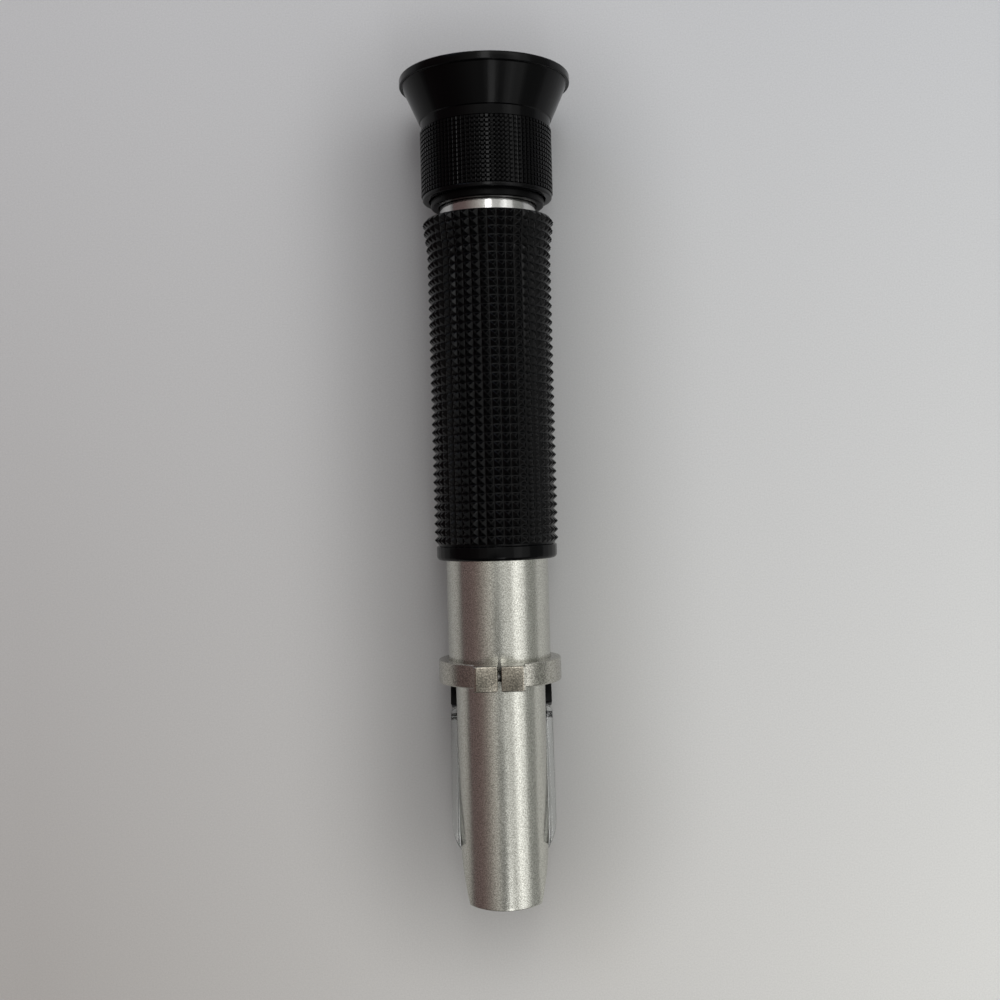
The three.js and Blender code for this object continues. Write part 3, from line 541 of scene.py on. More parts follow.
def boxAt(name, low, high, place=lambda points: points):
    corners = np.array(list(itertools.product(*zip(low, high))))
    faces = [[0, 1, 3, 2], [4, 6, 7, 5], [0, 4, 5, 1], [2, 3, 7, 6], [0, 2, 6, 4], [1, 5, 7, 3]]
    return makeObject(name, place(corners), faces, smooth=0)


def buildHead():
    end = reach("prism_head")[1]
    item = makeObject("headShell", *makeHead())
    prismLow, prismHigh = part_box("measuring_prism")
    fit = head["fit"]
    wide, pocketLow = glass["width"] / 2 + fit, prismLow.z - glass["pocketReach"]
    pocket = boxAt(
        "pocket", (-wide, prismLow.y - fit, pocketLow), (wide, prismHigh.y + fit, prismHigh.z + fit),
    )
    edge = glass["seal"] + fit
    groove = boxAt(
        "groove",
        (-glass["width"] / 2 - edge, glass["setback"] - edge, -mm),
        (glass["width"] / 2 + edge, glass["setback"] + glass["face"] + edge, glass["sealDepth"]),
        onSlope,
    )
    bore = rod("bore", head["bore"], prismHigh.y, end + mm, 48)
    carve(item, cuts=(pocket, groove, bore), smooth=30)
    dress(item, "satin_aluminium", "body", "prism_head")


buildHead()


def buildPrism():
    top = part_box("measuring_prism")[1].z
    start, half, edge = glass["setback"], glass["width"] / 2, glass["edge"]
    corners = onSlope(np.array([[0, start, 0], [0, start + glass["face"], 0], [0, start, glass["nose"]]]))
    tip, heel, nose = corners[:, 1:].tolist()
    outline = rounded([(*tip, edge), (*heel, edge), (heel[0], top, edge), (nose[0], top, edge)], 3)
    item = extrude("prismGlass", outline, -half, half, edge, acrossX, 3)
    dress(item, "optical_glass", "body", "measuring_prism")


buildPrism()


# The seal is a small rounded bar carried round the prism's face.
def buildSeal():
    wide, start, end = glass["width"] / 2, glass["setback"], glass["setback"] + glass["face"]
    outer, inner, deep, edge = glass["seal"], play, glass["sealDepth"], glass["sealEdge"]
    rings = [
        (outer, edge), (outer - edge, 0.0), (inner + edge, 0.0), (inner, edge), (inner, deep), (outer, deep),
    ]
    rows = []
    for margin, depth in rings:
        corner = glass["sealCorner"] + margin
        outline = rounded([
            (-wide - margin, start - margin, corner), (wide + margin, start - margin, corner),
            (wide + margin, end + margin, corner), (-wide - margin, end + margin, corner),
        ], 4)
        rows.append(np.column_stack([outline, np.full(len(outline), depth)]))
    points = np.concatenate(rows)
    faces = gridFaces(len(rings), len(rows[0]), wrapRows=True).tolist()
    item = makeObject("sealFrame", onSlope(points), faces)
    dress(item, "grey_seal", "body", "prism_seal")


buildSeal()
print("head done")


# Turned tubes: outlines of (radius, y, rounding), from the CAD nodes' own reach
barrel = {"wall": 1.2 * mm, "edge": 0.25 * mm}


def buildBarrel():
    start, end, radius = reach("barrel")
    inner, edge = radius - barrel["wall"], barrel["edge"]
    outline = rounded([(inner, start, 0), (radius, start, edge), (radius, end, edge), (inner, end, 0)])
    item = makeObject("barrelTube", *turned(outline, 192))
    dress(item, "satin_aluminium", "body", "barrel")


buildBarrel()

neck = {"bore": 8.2 * mm, "spigot": 8.75 * mm, "edge": 0.3 * mm}


def buildNeck():
    start, end, radius = reach("eyepiece_neck")
    shoulder = reach("barrel")[1] + play
    edge = neck["edge"]
    outline = rounded([
        (neck["bore"], start, 0), (neck["spigot"], start, edge), (neck["spigot"], shoulder, 0),
        (radius, shoulder, 0), (radius, end, edge), (neck["bore"], end, edge),
    ])
    item = makeObject("neckTube", *turned(outline, 160))
    dress(item, "turned_aluminium", "body", "eyepiece_neck")


buildNeck()

focus = {
    "bore": 9.5 * mm, "tube": 8.1 * mm, "lensBore": 6.45 * mm, "ledge": 0.7 * mm, "ledgeLength": 1 * mm,
    "endWall": 3.7 * mm, "edge": 0.35 * mm, "smallEdge": 0.1 * mm, "reach": 4.7 * mm,
}


def buildFocusTube():
    start, end, radius = reach("focus_tube")
    mouth, wall, ledgeEnd = start + focus["reach"], end - focus["endWall"], start + focus["ledgeLength"]
    edge, small, lensBore = focus["edge"], focus["smallEdge"], focus["lensBore"]
    ledge = lensBore - focus["ledge"]
    outline = rounded([
        (ledge, start, small), (focus["tube"], start, small), (focus["tube"], wall, 0),
        (focus["bore"], wall, 0), (focus["bore"], mouth, edge), (radius, mouth, edge), (radius, end, small),
        (lensBore, end, small), (lensBore, ledgeEnd, 0), (ledge, ledgeEnd, 0),
    ])
    item = makeObject("focusTube", *turned(outline, 160))
    dress(item, "black_plastic", "eyecup", "focus_tube")


buildFocusTube()
print("tubes done")


# Grip: a sleeve whose skin is a field of four-sided studs. In its cell, with a across and b along from
# -1 to 1, a stud is a pyramid: eight-sided rings, which are squares with their corners cut, fall from its
# top to the groove.
grip = {
    "columns": 44, "rows": 39, "studHeight": 0.6 * mm, "bore": 10.05 * mm, "root": 11.5 * mm,
    "hem": 11.8 * mm, "hemLength": 3.1 * mm, "hemEdge": 0.8 * mm, "groove": 0.25 * mm,
    "grooveDepth": 0.35 * mm,
    "flareLength": 7.8 * mm, "flare": 0.75 * mm, "lip": 9.5 * mm, "lipDepth": 1.3 * mm, "lipEdge": 0.3 * mm,
    "endEdge": 0.15 * mm, "boreEdge": 0.3 * mm, "grooveEdges": (0.1 * mm, 0.08 * mm),
    # (half width, cut corner, height share)
    "rings": ((0.10, 0.06, 1.0), (0.80, 0.12, 0.13), (0.90, 0.11, 0.045), (0.97, 0.08, 0.006)),
}


def smoothStep(value, low, high):
    share = np.clip((value - low) / (high - low), 0, 1)
    return share * share * (3 - 2 * share)


# The points (a, b, height share) and the faces of one stud, with the border that it shares with the next.
def studShape():
    rings, faces = [], [list(range(8))]
    for far, cut, height in grip["rings"]:
        near = far - cut
        right, left = [(far, -near), (far, near), (near, far), (-near, far)], [(-far, near), (-far, -near)]
        ring = [*right, *left, (-near, -far), (near, -far)]
        rings.append([(*point, height) for point in ring])
    border = [
        (1, -near), (1, near), (1, 1), (near, 1), (-near, 1), (-1, 1),
        (-1, near), (-1, -near), (-1, -1), (-near, -1), (near, -1), (1, -1),
    ]
    for level in range(len(rings) - 1):
        low = level * 8
        faces += [[low + i, low + (i + 1) % 8, low + 8 + (i + 1) % 8, low + 8 + i] for i in range(8)]
    ring, edge = 8 * (len(rings) - 1), 8 * len(rings)
    for k in range(4):
        faces.append([ring + 2 * k, ring + 2 * k + 1, edge + 3 * k + 1, edge + 3 * k])
        corner = [edge + 3 * k + 1, edge + 3 * k + 2, edge + (3 * k + 3) % 12]
        faces.append([ring + 2 * k + 1, *corner, ring + (2 * k + 2) % 8])
    points = sum(rings, []) + [(*point, 0.0) for point in border]
    return np.array(points), faces, near


def buildGrip():
    start, end, _ = reach("grip")
    shape, shapeFaces, near = studShape()
    columns, rows = grip["columns"], grip["rows"]
    cellTurn, studStart = 2 * np.pi / columns, start + grip["hemLength"]
    pitch = (end - studStart) / rows
    cellColumn, cellRow = np.meshgrid(np.arange(columns), np.arange(rows))
    turn = (cellColumn.ravel()[:, None] + (shape[:, 0] + 1) / 2) * cellTurn
    y = studStart + (cellRow.ravel()[:, None] + (shape[:, 1] + 1) / 2) * pitch
    root = grip["root"] + grip["flare"] * smoothStep(y, end - grip["flareLength"], end)
    studs = aboutAxis(root + shape[:, 2] * grip["studHeight"], y, turn).reshape(-1, 3)
    first = np.arange(rows * columns) * len(shape)
    faces = [(np.array(face) + first[:, None]).tolist() for face in shapeFaces]

    bore, hem, groove, lip, edge = (grip[name] for name in ("bore", "hem", "groove", "lip", "lipEdge"))
    upperEdge, lowerEdge = grip["grooveEdges"]
    lipEnd, endRoot = end - grip["lipDepth"], grip["root"] + grip["flare"]
    before = rounded([
        (bore, start, grip["boreEdge"]), (hem, start, grip["hemEdge"]),
        (hem, studStart - groove * 2, upperEdge), (hem - grip["grooveDepth"], studStart - groove, lowerEdge),
        (grip["root"], studStart, 0), (bore, studStart, 0),
    ])[:-1]
    after = np.array([
        (endRoot, end), (endRoot - grip["endEdge"], end), (lip + edge, end), (lip, end - edge), (lip, lipEnd),
        (bore, lipEnd),
    ])
    outline = np.concatenate([after, before])
    across = (np.arange(columns)[:, None] + (np.array([-1, -near, near]) + 1) / 2).ravel() * cellTurn
    sleeve = aboutAxis(outline[:, :1], outline[:, 1:], across).reshape(-1, 3)
    sleeveFaces = (gridFaces(len(outline), len(across)) + len(studs)).tolist()
    item = makeObject("gripSleeve", np.concatenate([studs, sleeve]), sum(faces, []) + sleeveFaces, smooth=20)
    dress(item, "black_rubber", "body", "grip")


buildGrip()
print("grip done")


# Eyecup: a turned outline whose knurled band is cut into small flat studs by grooves along and around it.
# The depth at a place is the larger of two groove profiles, one around the sleeve and one along it.
eyecup = {
    "columns": 88, "rows": 15, "knurlDepth": 0.34 * mm, "knurlLength": 12.8 * mm,
    "grooveShares": (0.0, 0.16, 0.22, 0.78, 0.84), "depthShares": (1.0, 0.78, 0.0, 0.0, 0.78),
    "bandDrop": 0.2 * mm, "sleeveRise": 0.45 * mm, "knurlRise": 0.35 * mm,
    "upperBand": 1.9 * mm, "coneLength": 6.8 * mm, "coneRise": 3.05 * mm, "lipLength": 1.7 * mm,
    "wall": 1.3 * mm, "floor": 1.1 * mm, "eyehole": 7.4 * mm, "sleeveBore": 11.15 * mm,
    "mouth": 0.25 * mm, "mouthDepth": 1.1 * mm, "overhang": 0.65 * mm, "crease": (0.25 * mm, 0.15 * mm),
    "step": 0.1 * mm, "smallEdge": 0.1 * mm, "creaseEdge": 0.12 * mm, "mouthEdges": (0.2 * mm, 0.3 * mm),
    "lipEdge": 0.25 * mm, "rimEdges": (0.35 * mm, 0.5 * mm), "floorEdges": (0.6 * mm, 0.25 * mm),
}


def buildEyecup():
    start, end, rim = reach("eyecup")
    lipStart = end - eyecup["lipLength"]
    crease = lipStart - eyecup["coneLength"]
    knurlEnd = crease - eyecup["upperBand"]
    knurlStart = knurlEnd - eyecup["knurlLength"]
    cone = rim - eyecup["overhang"]
    creaseRadius = cone - eyecup["coneRise"]
    sleeve = creaseRadius - eyecup["sleeveRise"]
    knurl = sleeve + eyecup["knurlRise"]
    band = knurl - eyecup["bandDrop"]
    floorStart = reach("focus_tube")[1] + play
    floorEnd = floorStart + eyecup["floor"]

    def inside(y):
        return creaseRadius - eyecup["wall"] + eyecup["coneRise"] * (y - crease) / eyecup["coneLength"]

    bore, eyehole, small = eyecup["sleeveBore"], eyecup["eyehole"], eyecup["smallEdge"]
    mouth, mouthEnd = bore + eyecup["mouth"], start + eyecup["mouthDepth"]
    (innerEdge, outerEdge), (rimEdge, hollowEdge) = eyecup["mouthEdges"], eyecup["rimEdges"]
    (floorEdge, eyeholeEdge), (creaseIn, creaseBack) = eyecup["floorEdges"], eyecup["crease"]
    step = eyecup["step"]
    lower = rounded([
        (mouth, start, innerEdge), (band, start, outerEdge), (band, knurlStart, 0), (mouth, knurlStart, 0),
    ])[:-1]
    upper = rounded([
        (bore, knurlEnd, 0), (sleeve, knurlEnd, small), (creaseRadius - creaseIn, crease - creaseBack, small),
        (creaseRadius, crease, eyecup["creaseEdge"]), (cone, lipStart - step / 2, small / 2),
        (cone + step, lipStart + step, small / 2), (rim, lipStart, eyecup["lipEdge"]), (rim, end, rimEdge),
        (inside(end), end, hollowEdge), (inside(floorEnd), floorEnd, floorEdge),
        (eyehole, floorEnd, eyeholeEdge), (eyehole, floorStart, small), (bore, floorStart, 0),
        (bore, mouthEnd, 0), (mouth, mouthEnd, 0),
    ])[1:]
    shares, depths = np.array(eyecup["grooveShares"]), np.array(eyecup["depthShares"])
    turn = (np.arange(eyecup["columns"])[:, None] + shares).ravel() / eyecup["columns"] * 2 * np.pi
    share = ((np.arange(eyecup["rows"])[:, None] + shares).ravel() / eyecup["rows"])[1:]
    around, lengthwise = np.tile(depths, eyecup["columns"]), np.tile(depths, eyecup["rows"])[1:]
    depth = eyecup["knurlDepth"] * np.maximum(around[None, :], lengthwise[:, None])
    columns = len(turn)
    y = knurlStart + share * eyecup["knurlLength"]
    plain = [np.repeat(stretch[:, :1], columns, 1) for stretch in (lower, upper)]
    radius = np.concatenate([plain[0], knurl - depth, plain[1]])
    along = np.concatenate([lower[:, 1], y, upper[:, 1]])[:, None]
    points = aboutAxis(radius, along, turn).reshape(-1, 3)
    faces = gridFaces(len(along), columns, wrapRows=True).tolist()
    item = makeObject("eyecupRubber", points, faces, smooth=30)
    dress(item, "black_rubber", "eyecup", "eyecup")


buildEyecup()
print("eyecup done")


# Clamp ring: a turned band, two lugs and two hinge ears, joined, then cut by the slit and the holes
clamp = {
    "length": 4.5 * mm, "ringRadius": 12.0 * mm, "core": 9 * mm, "bore": 10.05 * mm, "bevel": 0.3 * mm,
    "slit": 0.7 * mm, "lugFoot": 9.6 * mm, "lugWidth": 4.55 * mm, "lugLength": 4.8 * mm, "lugEdge": 0.3 * mm,
    "lugBevel": 0.55 * mm, "lugFall": 0.25 * mm, "outerCorner": 0.06 * mm, "innerCorner": 0.18 * mm,
    "ear": 4.35 * mm, "earWidth": 2.2 * mm, "earTop": 10.4 * mm, "earCorner": 1.45 * mm, "earEdge": 0.2 * mm,
    "pin": 1.0 * mm, "pinEdge": 0.2 * mm, "screw": 0.95 * mm, "screwRise": 0.35 * mm, "screwHead": 1.45 * mm,
    "headLength": 1.3 * mm, "headEdge": 0.15 * mm, "threadDepth": 0.22 * mm, "threadPitch": 0.5 * mm,
    "slotDepth": 0.5 * mm, "slotHalf": 0.22 * mm, "slotReach": 3 * mm,
}


# A bar along X about a place (y, z).
def crossBar(name, radius, place, start, end, edge=0.01 * mm):
    return extrude(name, circle(radius, place), start, end, edge, acrossX, 3)


# The same, but its radius goes up and down along it, as a thread's does.
def threadBar(name, radius, place, start, end, columns=32):
    x = np.arange(start, end, clamp["threadPitch"] / 2)[:, None]
    r = radius - clamp["threadDepth"] * (np.arange(len(x)) % 2)[:, None]
    turn, (y, z) = fullTurn(columns), place
    points = np.stack([x + 0 * turn, y + r * np.cos(turn), z + r * np.sin(turn)], -1).reshape(-1, 3)
    ends = [list(range(columns)), list(range(len(points) - columns, len(points)))]
    return makeObject(name, points, gridFaces(len(x), columns).tolist() + ends)


def makeLug(side, end, top):
    near, far, corner = clamp["slit"] / 2, clamp["slit"] / 2 + clamp["lugWidth"], clamp["outerCorner"]
    low = axisZ + clamp["lugFoot"]
    outline = rounded([
        (side * near, low, 0), (side * far, low, 0), (side * far, top - clamp["lugFall"], corner),
        (side * (far - clamp["lugBevel"]), top, corner), (side * near, top, clamp["innerCorner"]),
    ], 3)
    return extrude("lug", outline, end - clamp["lugLength"], end, clamp["lugEdge"], alongY)


def makeEar(side, start, end):
    top, corner = axisZ - clamp["earTop"], clamp["earCorner"]
    outline = rounded([(start, 0.0, corner), (start, top, 0), (end, top, 0), (end, 0.0, corner)])
    inner, outer = sorted((side * clamp["ear"], side * (clamp["ear"] + clamp["earWidth"])))
    return extrude("ear", outline, inner, outer, clamp["earEdge"], acrossX)


def buildClampRing():
    end, top = reach("clamp_ring")[1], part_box("clamp_ring")[1].z
    start, pinPlace = end - clamp["length"], hingePlace()
    radius, bevel, core = clamp["ringRadius"], clamp["bevel"], clamp["core"]
    outline = rounded([(core, start, 0), (radius, start, bevel), (radius, end, bevel), (core, end, 0)])
    item = makeObject("clampBand", *turned(outline, 160))
    joins = []
    for side in (-1, 1):
        joins += [makeLug(side, end, top), makeEar(side, start, end)]
    near, far = clamp["slit"] / 2, clamp["slit"] / 2 + clamp["lugWidth"]
    screwPlace, headStart = (pinPlace[0], axisZ + radius + clamp["screwRise"]), far - clamp["headLength"]
    cuts = [
        rod("ringBore", clamp["bore"], start - overrun, end + overrun, 160),
        boxAt("slit", (-near, start - mm, axisZ), (near, end + mm, top + mm)),
        crossBar("screwHole", clamp["screw"] + play, screwPlace, -far - mm, far + mm),
        crossBar("headHole", clamp["screwHead"] + play, screwPlace, headStart, far + mm),
        crossBar("pinHole", clamp["pin"] + play, pinPlace, -overrun, overrun),
    ]
    carve(item, joins, cuts, smooth=30)
    dress(item, "cast_aluminium", "body", "clamp_ring")

    screwLow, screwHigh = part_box("clamp_screw")
    y, z = screwPlace
    slotStart, slotHalf, slotReach = screwHigh.x - clamp["slotDepth"], clamp["slotHalf"], clamp["slotReach"]
    screw = crossBar(
        "clampScrew", clamp["screwHead"], screwPlace, headStart + play, screwHigh.x, clamp["headEdge"],
    )
    shank = threadBar("shank", clamp["screw"], screwPlace, screwLow.x, far - mm)
    slot = boxAt(
        "slot", (slotStart, y - slotReach, z - slotHalf), (screwHigh.x + mm, y + slotReach, z + slotHalf),
    )
    carve(screw, (shank,), (slot,), smooth=30)
    dress(screw, "bright_steel", "body", "clamp_screw")

    pinLow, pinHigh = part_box("hinge_pin")
    pin = crossBar("hingePin", clamp["pin"], pinPlace, pinLow.x, pinHigh.x, clamp["pinEdge"])
    dress(pin, "bright_steel", "body", "hinge_pin")


buildClampRing()
print("clamp ring done")


# Hinge yoke: a bar below the head, a cheek and a tongue at each side, and a web with a knuckle on the pin
yoke = {
    "half": 10.15 * mm, "cheek": 7.95 * mm, "tongue": 0.95 * mm, "tongueReach": 3.4 * mm, "length": 5.8 * mm,
    "gap": 0.3 * mm, "rise": 2.3 * mm, "plate": -plateFace, "inner": -0.3 * mm, "tongueLow": 0.1 * mm,
    "tongueHigh": 2 * mm, "tongueEdge": 0.1 * mm, "web": 4.2 * mm, "webThickness": 2.4 * mm,
    "webEdge": 0.15 * mm, "knuckle": 2 * mm, "edge": 0.25 * mm, "pin": 0.65 * mm, "pinSetback": 1.9 * mm,
    "pinRise": 0.95 * mm, "pinEdge": 0.1 * mm, "plateGap": 0.4 * mm, "holeReach": 12 * mm,
}


def readYoke():
    back = reach("clamp_ring")[1] - clamp["length"] - yoke["gap"]
    slant = slope["along"][1]
    along = (back - yoke["length"] - overallBox["start"]) / slant
    pinAlong = along - yoke["plateGap"] - yoke["pinSetback"]
    pin = onSlope(np.array([[0, pinAlong, yoke["inner"] + yoke["pinRise"]]]))[0]
    return {"back": back, "along": along, "slant": slant, "pinAlong": pinAlong, "pin": (pin[1], pin[2])}


yokePlace = readYoke()


def buildYoke():
    place, edge = yokePlace, yoke["edge"]
    back, along = place["back"], place["along"]

    def below(depth):
        return slopeHeight(back) + depth / place["slant"]

    def side(top, corner):
        front = onSlope(np.array([[0, along, top], [0, along, yoke["plate"]]]))
        return rounded([
            (front[0][1], front[0][2], corner), (front[1][1], front[1][2], edge),
            (back, below(yoke["plate"]), edge), (back, below(top), corner),
        ], 4)

    half, cheek, inner = yoke["half"], yoke["cheek"], yoke["inner"]
    item = extrude("yoke", side(inner, play), -half, half, edge, acrossX)
    joins = []
    front, rear = place["pinAlong"] - (yoke["tongueReach"] - yoke["pinSetback"]), along + mm
    low, high = inner + yoke["tongueLow"], inner + yoke["tongueHigh"]
    tongue = rounded([(front, low, edge), (rear, low, 0), (rear, high, 0), (front, high, edge * 3)], 4)
    for sign in (-1, 1):
        start, end = sorted((sign * cheek, sign * half))
        joins.append(extrude("cheek", side(yoke["rise"], edge), start, end, edge, acrossX))
        start, end = sorted((sign * cheek, sign * (cheek + yoke["tongue"])))
        joins.append(extrude(
            "tongue", tongue, start, end, yoke["tongueEdge"], lambda points: onSlope(acrossX(points)),
        ))
    pinY, pinZ = hingePlace()
    knuckle, front = yoke["knuckle"], back - yoke["webThickness"]
    middle = (inner + yoke["plate"]) / 2
    turn = np.linspace(math.pi * 1.25, math.pi * 2.5, 25)
    web = np.concatenate([
        [(front, slopeHeight(front) + middle / place["slant"]), (front, pinZ)],
        [(pinY - knuckle, pinZ - knuckle / 2)],
        np.stack([pinY + knuckle * np.cos(turn), pinZ + knuckle * np.sin(turn)], -1),
        [(back, pinZ + knuckle), (back, below(middle))],
    ])
    joins.append(extrude("web", web, -yoke["web"], yoke["web"], yoke["webEdge"], acrossX))
    cuts = [
        crossBar("yokePinHole", clamp["pin"] + play, (pinY, pinZ), -overrun, overrun),
        crossBar("platePinHole", yoke["pin"] + play, place["pin"], -yoke["holeReach"], yoke["holeReach"]),
    ]
    carve(item, joins, cuts, smooth=30)
    dress(item, "black_plastic", "daylight_cover", "hinge_yoke")
    for name, nodeName in (("platePinLeft", "plate_pin_left"), ("platePinRight", "plate_pin_right")):
        low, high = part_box(nodeName)
        pin = crossBar(name, yoke["pin"], place["pin"], low.x, high.x, yoke["pinEdge"])
        dress(pin, "black_plastic", "daylight_cover", nodeName)


buildYoke()
print("yoke done")


# Daylight plate: a panel with a half round front, and a flange up each side
plate = {
    "flange": 1.15 * mm, "corner": 1.2 * mm, "front": 16.04 * mm, "rise": 2.3 * mm, "edge": 0.22 * mm,
    "troughFillet": 0.5 * mm, "troughEdge": 0.01 * mm,
}


def buildPlate():
    half, inner, radius = yoke["half"], yoke["half"] - plate["flange"], plate["corner"]
    rear = yokePlace["along"] - yoke["plateGap"]
    turn = np.linspace(math.pi, 2 * math.pi, 65)
    front = np.stack([half * np.cos(turn), plate["front"] + half * np.sin(turn)], -1)
    straight = np.linspace(plate["front"], rear - radius, 12)[1:-1]
    turn = np.linspace(0, math.pi / 2, 9)
    rightCorner = np.stack([half - radius + radius * np.cos(turn), rear - radius + radius * np.sin(turn)], -1)
    leftCorner = (rightCorner * [-1, 1])[::-1]
    outline = np.concatenate([
        front, np.stack([np.full_like(straight, half), straight], -1), rightCorner, leftCorner,
        np.stack([np.full_like(straight, -half), straight[::-1]], -1),
    ])
    item = extrude("daylightPlate", outline, yoke["plate"], plate["rise"], plate["edge"], onSlope)
    low, high, fillet = yoke["inner"], plate["rise"] + mm, plate["troughFillet"]
    trough = rounded([(-inner, low, fillet), (inner, low, fillet), (inner, high, 0), (-inner, high, 0)])
    inside = extrude(
        "trough", trough, -mm, rear + mm, plate["troughEdge"], lambda points: onSlope(alongY(points)), 1,
    )
    hole = crossBar("hole", yoke["pin"] + play, yokePlace["pin"], -yoke["holeReach"], yoke["holeReach"])
    carve(item, cuts=(inside, hole), smooth=30)
    dress(item, "clear_plastic", "daylight_cover", "daylight_plate")


buildPlate()
print("plate done")


# Calibration: a bush that sits on the barrel like a saddle, a slotted screw in it, and a rubber cap over
# both. Each is an outline of (radius, z) turned about an upright line, and the barrel's curve is cut out of
# the bush and the cap.
calibration = {
    "flange": 3.2 * mm, "spigot": 2.3 * mm, "screw": 1.5 * mm, "edge": 0.2 * mm, "gap": 0.15 * mm,
    "slotWidth": 0.5 * mm, "slotDepth": 0.6 * mm, "slotReach": 3 * mm, "capWall": 0.8 * mm,
    "capRoof": 1.2 * mm, "capEdge": 0.6 * mm,
}


def upright(outline, centreY, columns=96):
    turn = fullTurn(columns)
    radius, z = outline[:, :1], outline[:, 1:]
    points = np.stack([radius * np.cos(turn), centreY + radius * np.sin(turn), z + 0 * turn], -1)
    return points.reshape(-1, 3), gridFaces(len(outline), columns).tolist()


def buildCalibration():
    low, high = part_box("calibration_screw")
    bushLow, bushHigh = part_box("calibration_bush")
    capLow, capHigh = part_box("calibration_cap")
    y, screw, edge = (low.y + high.y) / 2, calibration["screw"], calibration["edge"]
    barrelRadius = reach("barrel")[2]

    def saddle(gap):
        return rod("saddle", barrelRadius + gap, y - overrun, y + overrun, 192)

    def post(name, radius, start, end, startEdge=0, endEdge=0):
        outline = rounded([(0, start, 0), (radius, start, startEdge), (radius, end, endEdge), (0, end, 0)])
        return makeObject(name, *upright(outline, y))

    bush = post("calibrationBush", calibration["flange"], bushLow.z, axisZ, edge)
    carve(bush, cuts=(saddle(play),))
    stem = post("stem", calibration["spigot"], bushLow.z + mm, bushHigh.z, 0, edge)
    hole = post("hole", screw + play, bushLow.z - mm, bushHigh.z + mm)
    carve(bush, (stem,), (hole,), smooth=30)
    dress(bush, "satin_aluminium", "body", "calibration_bush")

    item = post("calibrationScrew", screw, low.z, high.z, edge, edge)
    half, wide = calibration["slotWidth"] / 2, calibration["slotReach"]
    slot = boxAt("slot", (-wide, y - half, low.z - mm), (wide, y + half, low.z + calibration["slotDepth"]))
    carve(item, cuts=(slot,), smooth=30)
    dress(item, "bright_steel", "calibration_screw", "calibration_screw")

    outer = (capHigh.x - capLow.x) / 2
    inner, roof = outer - calibration["capWall"], capLow.z + calibration["capRoof"]
    cup = rounded([
        (0, capLow.z, 0), (outer, capLow.z, calibration["capEdge"]), (outer, axisZ, 0), (inner, axisZ, 0),
        (inner, roof, edge), (0, roof, 0),
    ])
    cap = makeObject("calibrationCap", *upright(cup, y))
    carve(cap, cuts=(saddle(calibration["gap"]),), smooth=30)
    dress(cap, "black_rubber", "calibration_cap", "calibration_cap")


buildCalibration()
print("calibration done")


# Lenses: two shallow domes on an edge. The dome's height falls with the square of the share of the radius.
lenses = {
    "objective_lens": {"piece": "objectiveGlass", "body": "compensator", "bulge": 0.5 * mm},
    "field_lens": {"piece": "fieldGlass", "body": "eyepiece_lenses", "bulge": 1.0 * mm},
    "eye_lens": {"piece": "eyeGlass", "body": "eyepiece_lenses", "bulge": 1.2 * mm},
}


def buildLenses():
    share = np.linspace(0, 1, 25)
    for node, lens in lenses.items():
        start, end, radius = reach(node)
        dome = lens["bulge"] * (1 - share**2)
        front = np.stack([radius * share, start + lens["bulge"] - dome], -1)
        back = np.stack([radius * share, end - lens["bulge"] + dome], -1)[::-1]
        item = makeObject(lens["piece"], *turned(np.concatenate([front, back]), 96, closed=False))
        dress(item, "optical_glass", lens["body"], node)


# The ring that keeps the two lenses of the eyepiece apart
spacer = {"wall": 0.7 * mm, "edge": 0.1 * mm}


def buildSpacer():
    start, end, radius = reach("lens_spacer")
    inner, edge = radius - spacer["wall"], spacer["edge"]
    outline = rounded([(inner, start, edge), (radius, start, edge), (radius, end, edge), (inner, end, edge)])
    item = makeObject("lensSpacer", *turned(outline, 96))
    dress(item, "black_plastic", "eyepiece_lenses", "lens_spacer")


buildLenses()
buildSpacer()
print("lenses done")


# Light: a long soft lamp to the right with a narrow bright core before it, one above each end of the
# instrument, a wide one for the floor, and a room that darkens to the left, to the far right and towards the
# prism end. The room has a shade almost overhead and a cool window to the left, towards the eyepiece end.
lamps = {  # (place, turn in degrees about Y, size, power)
    "sideLamp": ((0.878, 0, 0.818), 47, (0.66, 1.7), 2.1),
    "sideCore": ((0.779, 0, 0.846), 42.6, (0.14, 1.6), 0.35),
    "eyepieceLamp": ((0.05, 0.62, 1.2), 0, (0.25, 0.9), 2.1),
    "prismLamp": ((0.28, -1.1, 1.2), 0, (0.26, 1.2), 2.0),
    "floorLamp": ((0.5, 0.95, 0.85), 0, (1.0, 1.0), 2.0),
}
room = {
    "colours": (  # from -X to +X
        (0.0, (0.15, 0.108, 0.108)), (0.1, (0.18, 0.13, 0.125)), (0.2, (0.28, 0.24, 0.225)),
        (0.32, (0.51, 0.48, 0.45)), (0.42, (0.74, 0.73, 0.70)), (0.56, (0.75, 0.75, 0.73)),
        (0.65, (0.70, 0.70, 0.68)), (0.82, (0.66, 0.66, 0.64)), (0.90, (0.56, 0.56, 0.54)),
        (0.96, (0.35, 0.355, 0.34)), (1.0, (0.31, 0.315, 0.30)),
    ),
    "prismEnd": (0.32, 0.75, 0.2),  # how far towards -Y the darkening starts and ends, and its share there
    # direction, inner and outer reach, and the share or the colour at its middle
    "shade": ((-0.04, -0.285, 0.96), 0.11, 0.27, 0.28),
    "window": ((-0.52, 0.66, 0.54), 0.10, 0.32, (0.9, 1.05, 1.35)),
}


def addLamp(name, place, turn, size, power):
    data = bpy.data.lights.new(name, "AREA")
    data.shape = "RECTANGLE"
    data.size, data.size_y = size
    data.energy = power
    item = bpy.data.objects.new(name, data)
    item.location = place
    item.rotation_euler = (0, math.radians(turn), 0)
    bpy.context.scene.collection.objects.link(item)


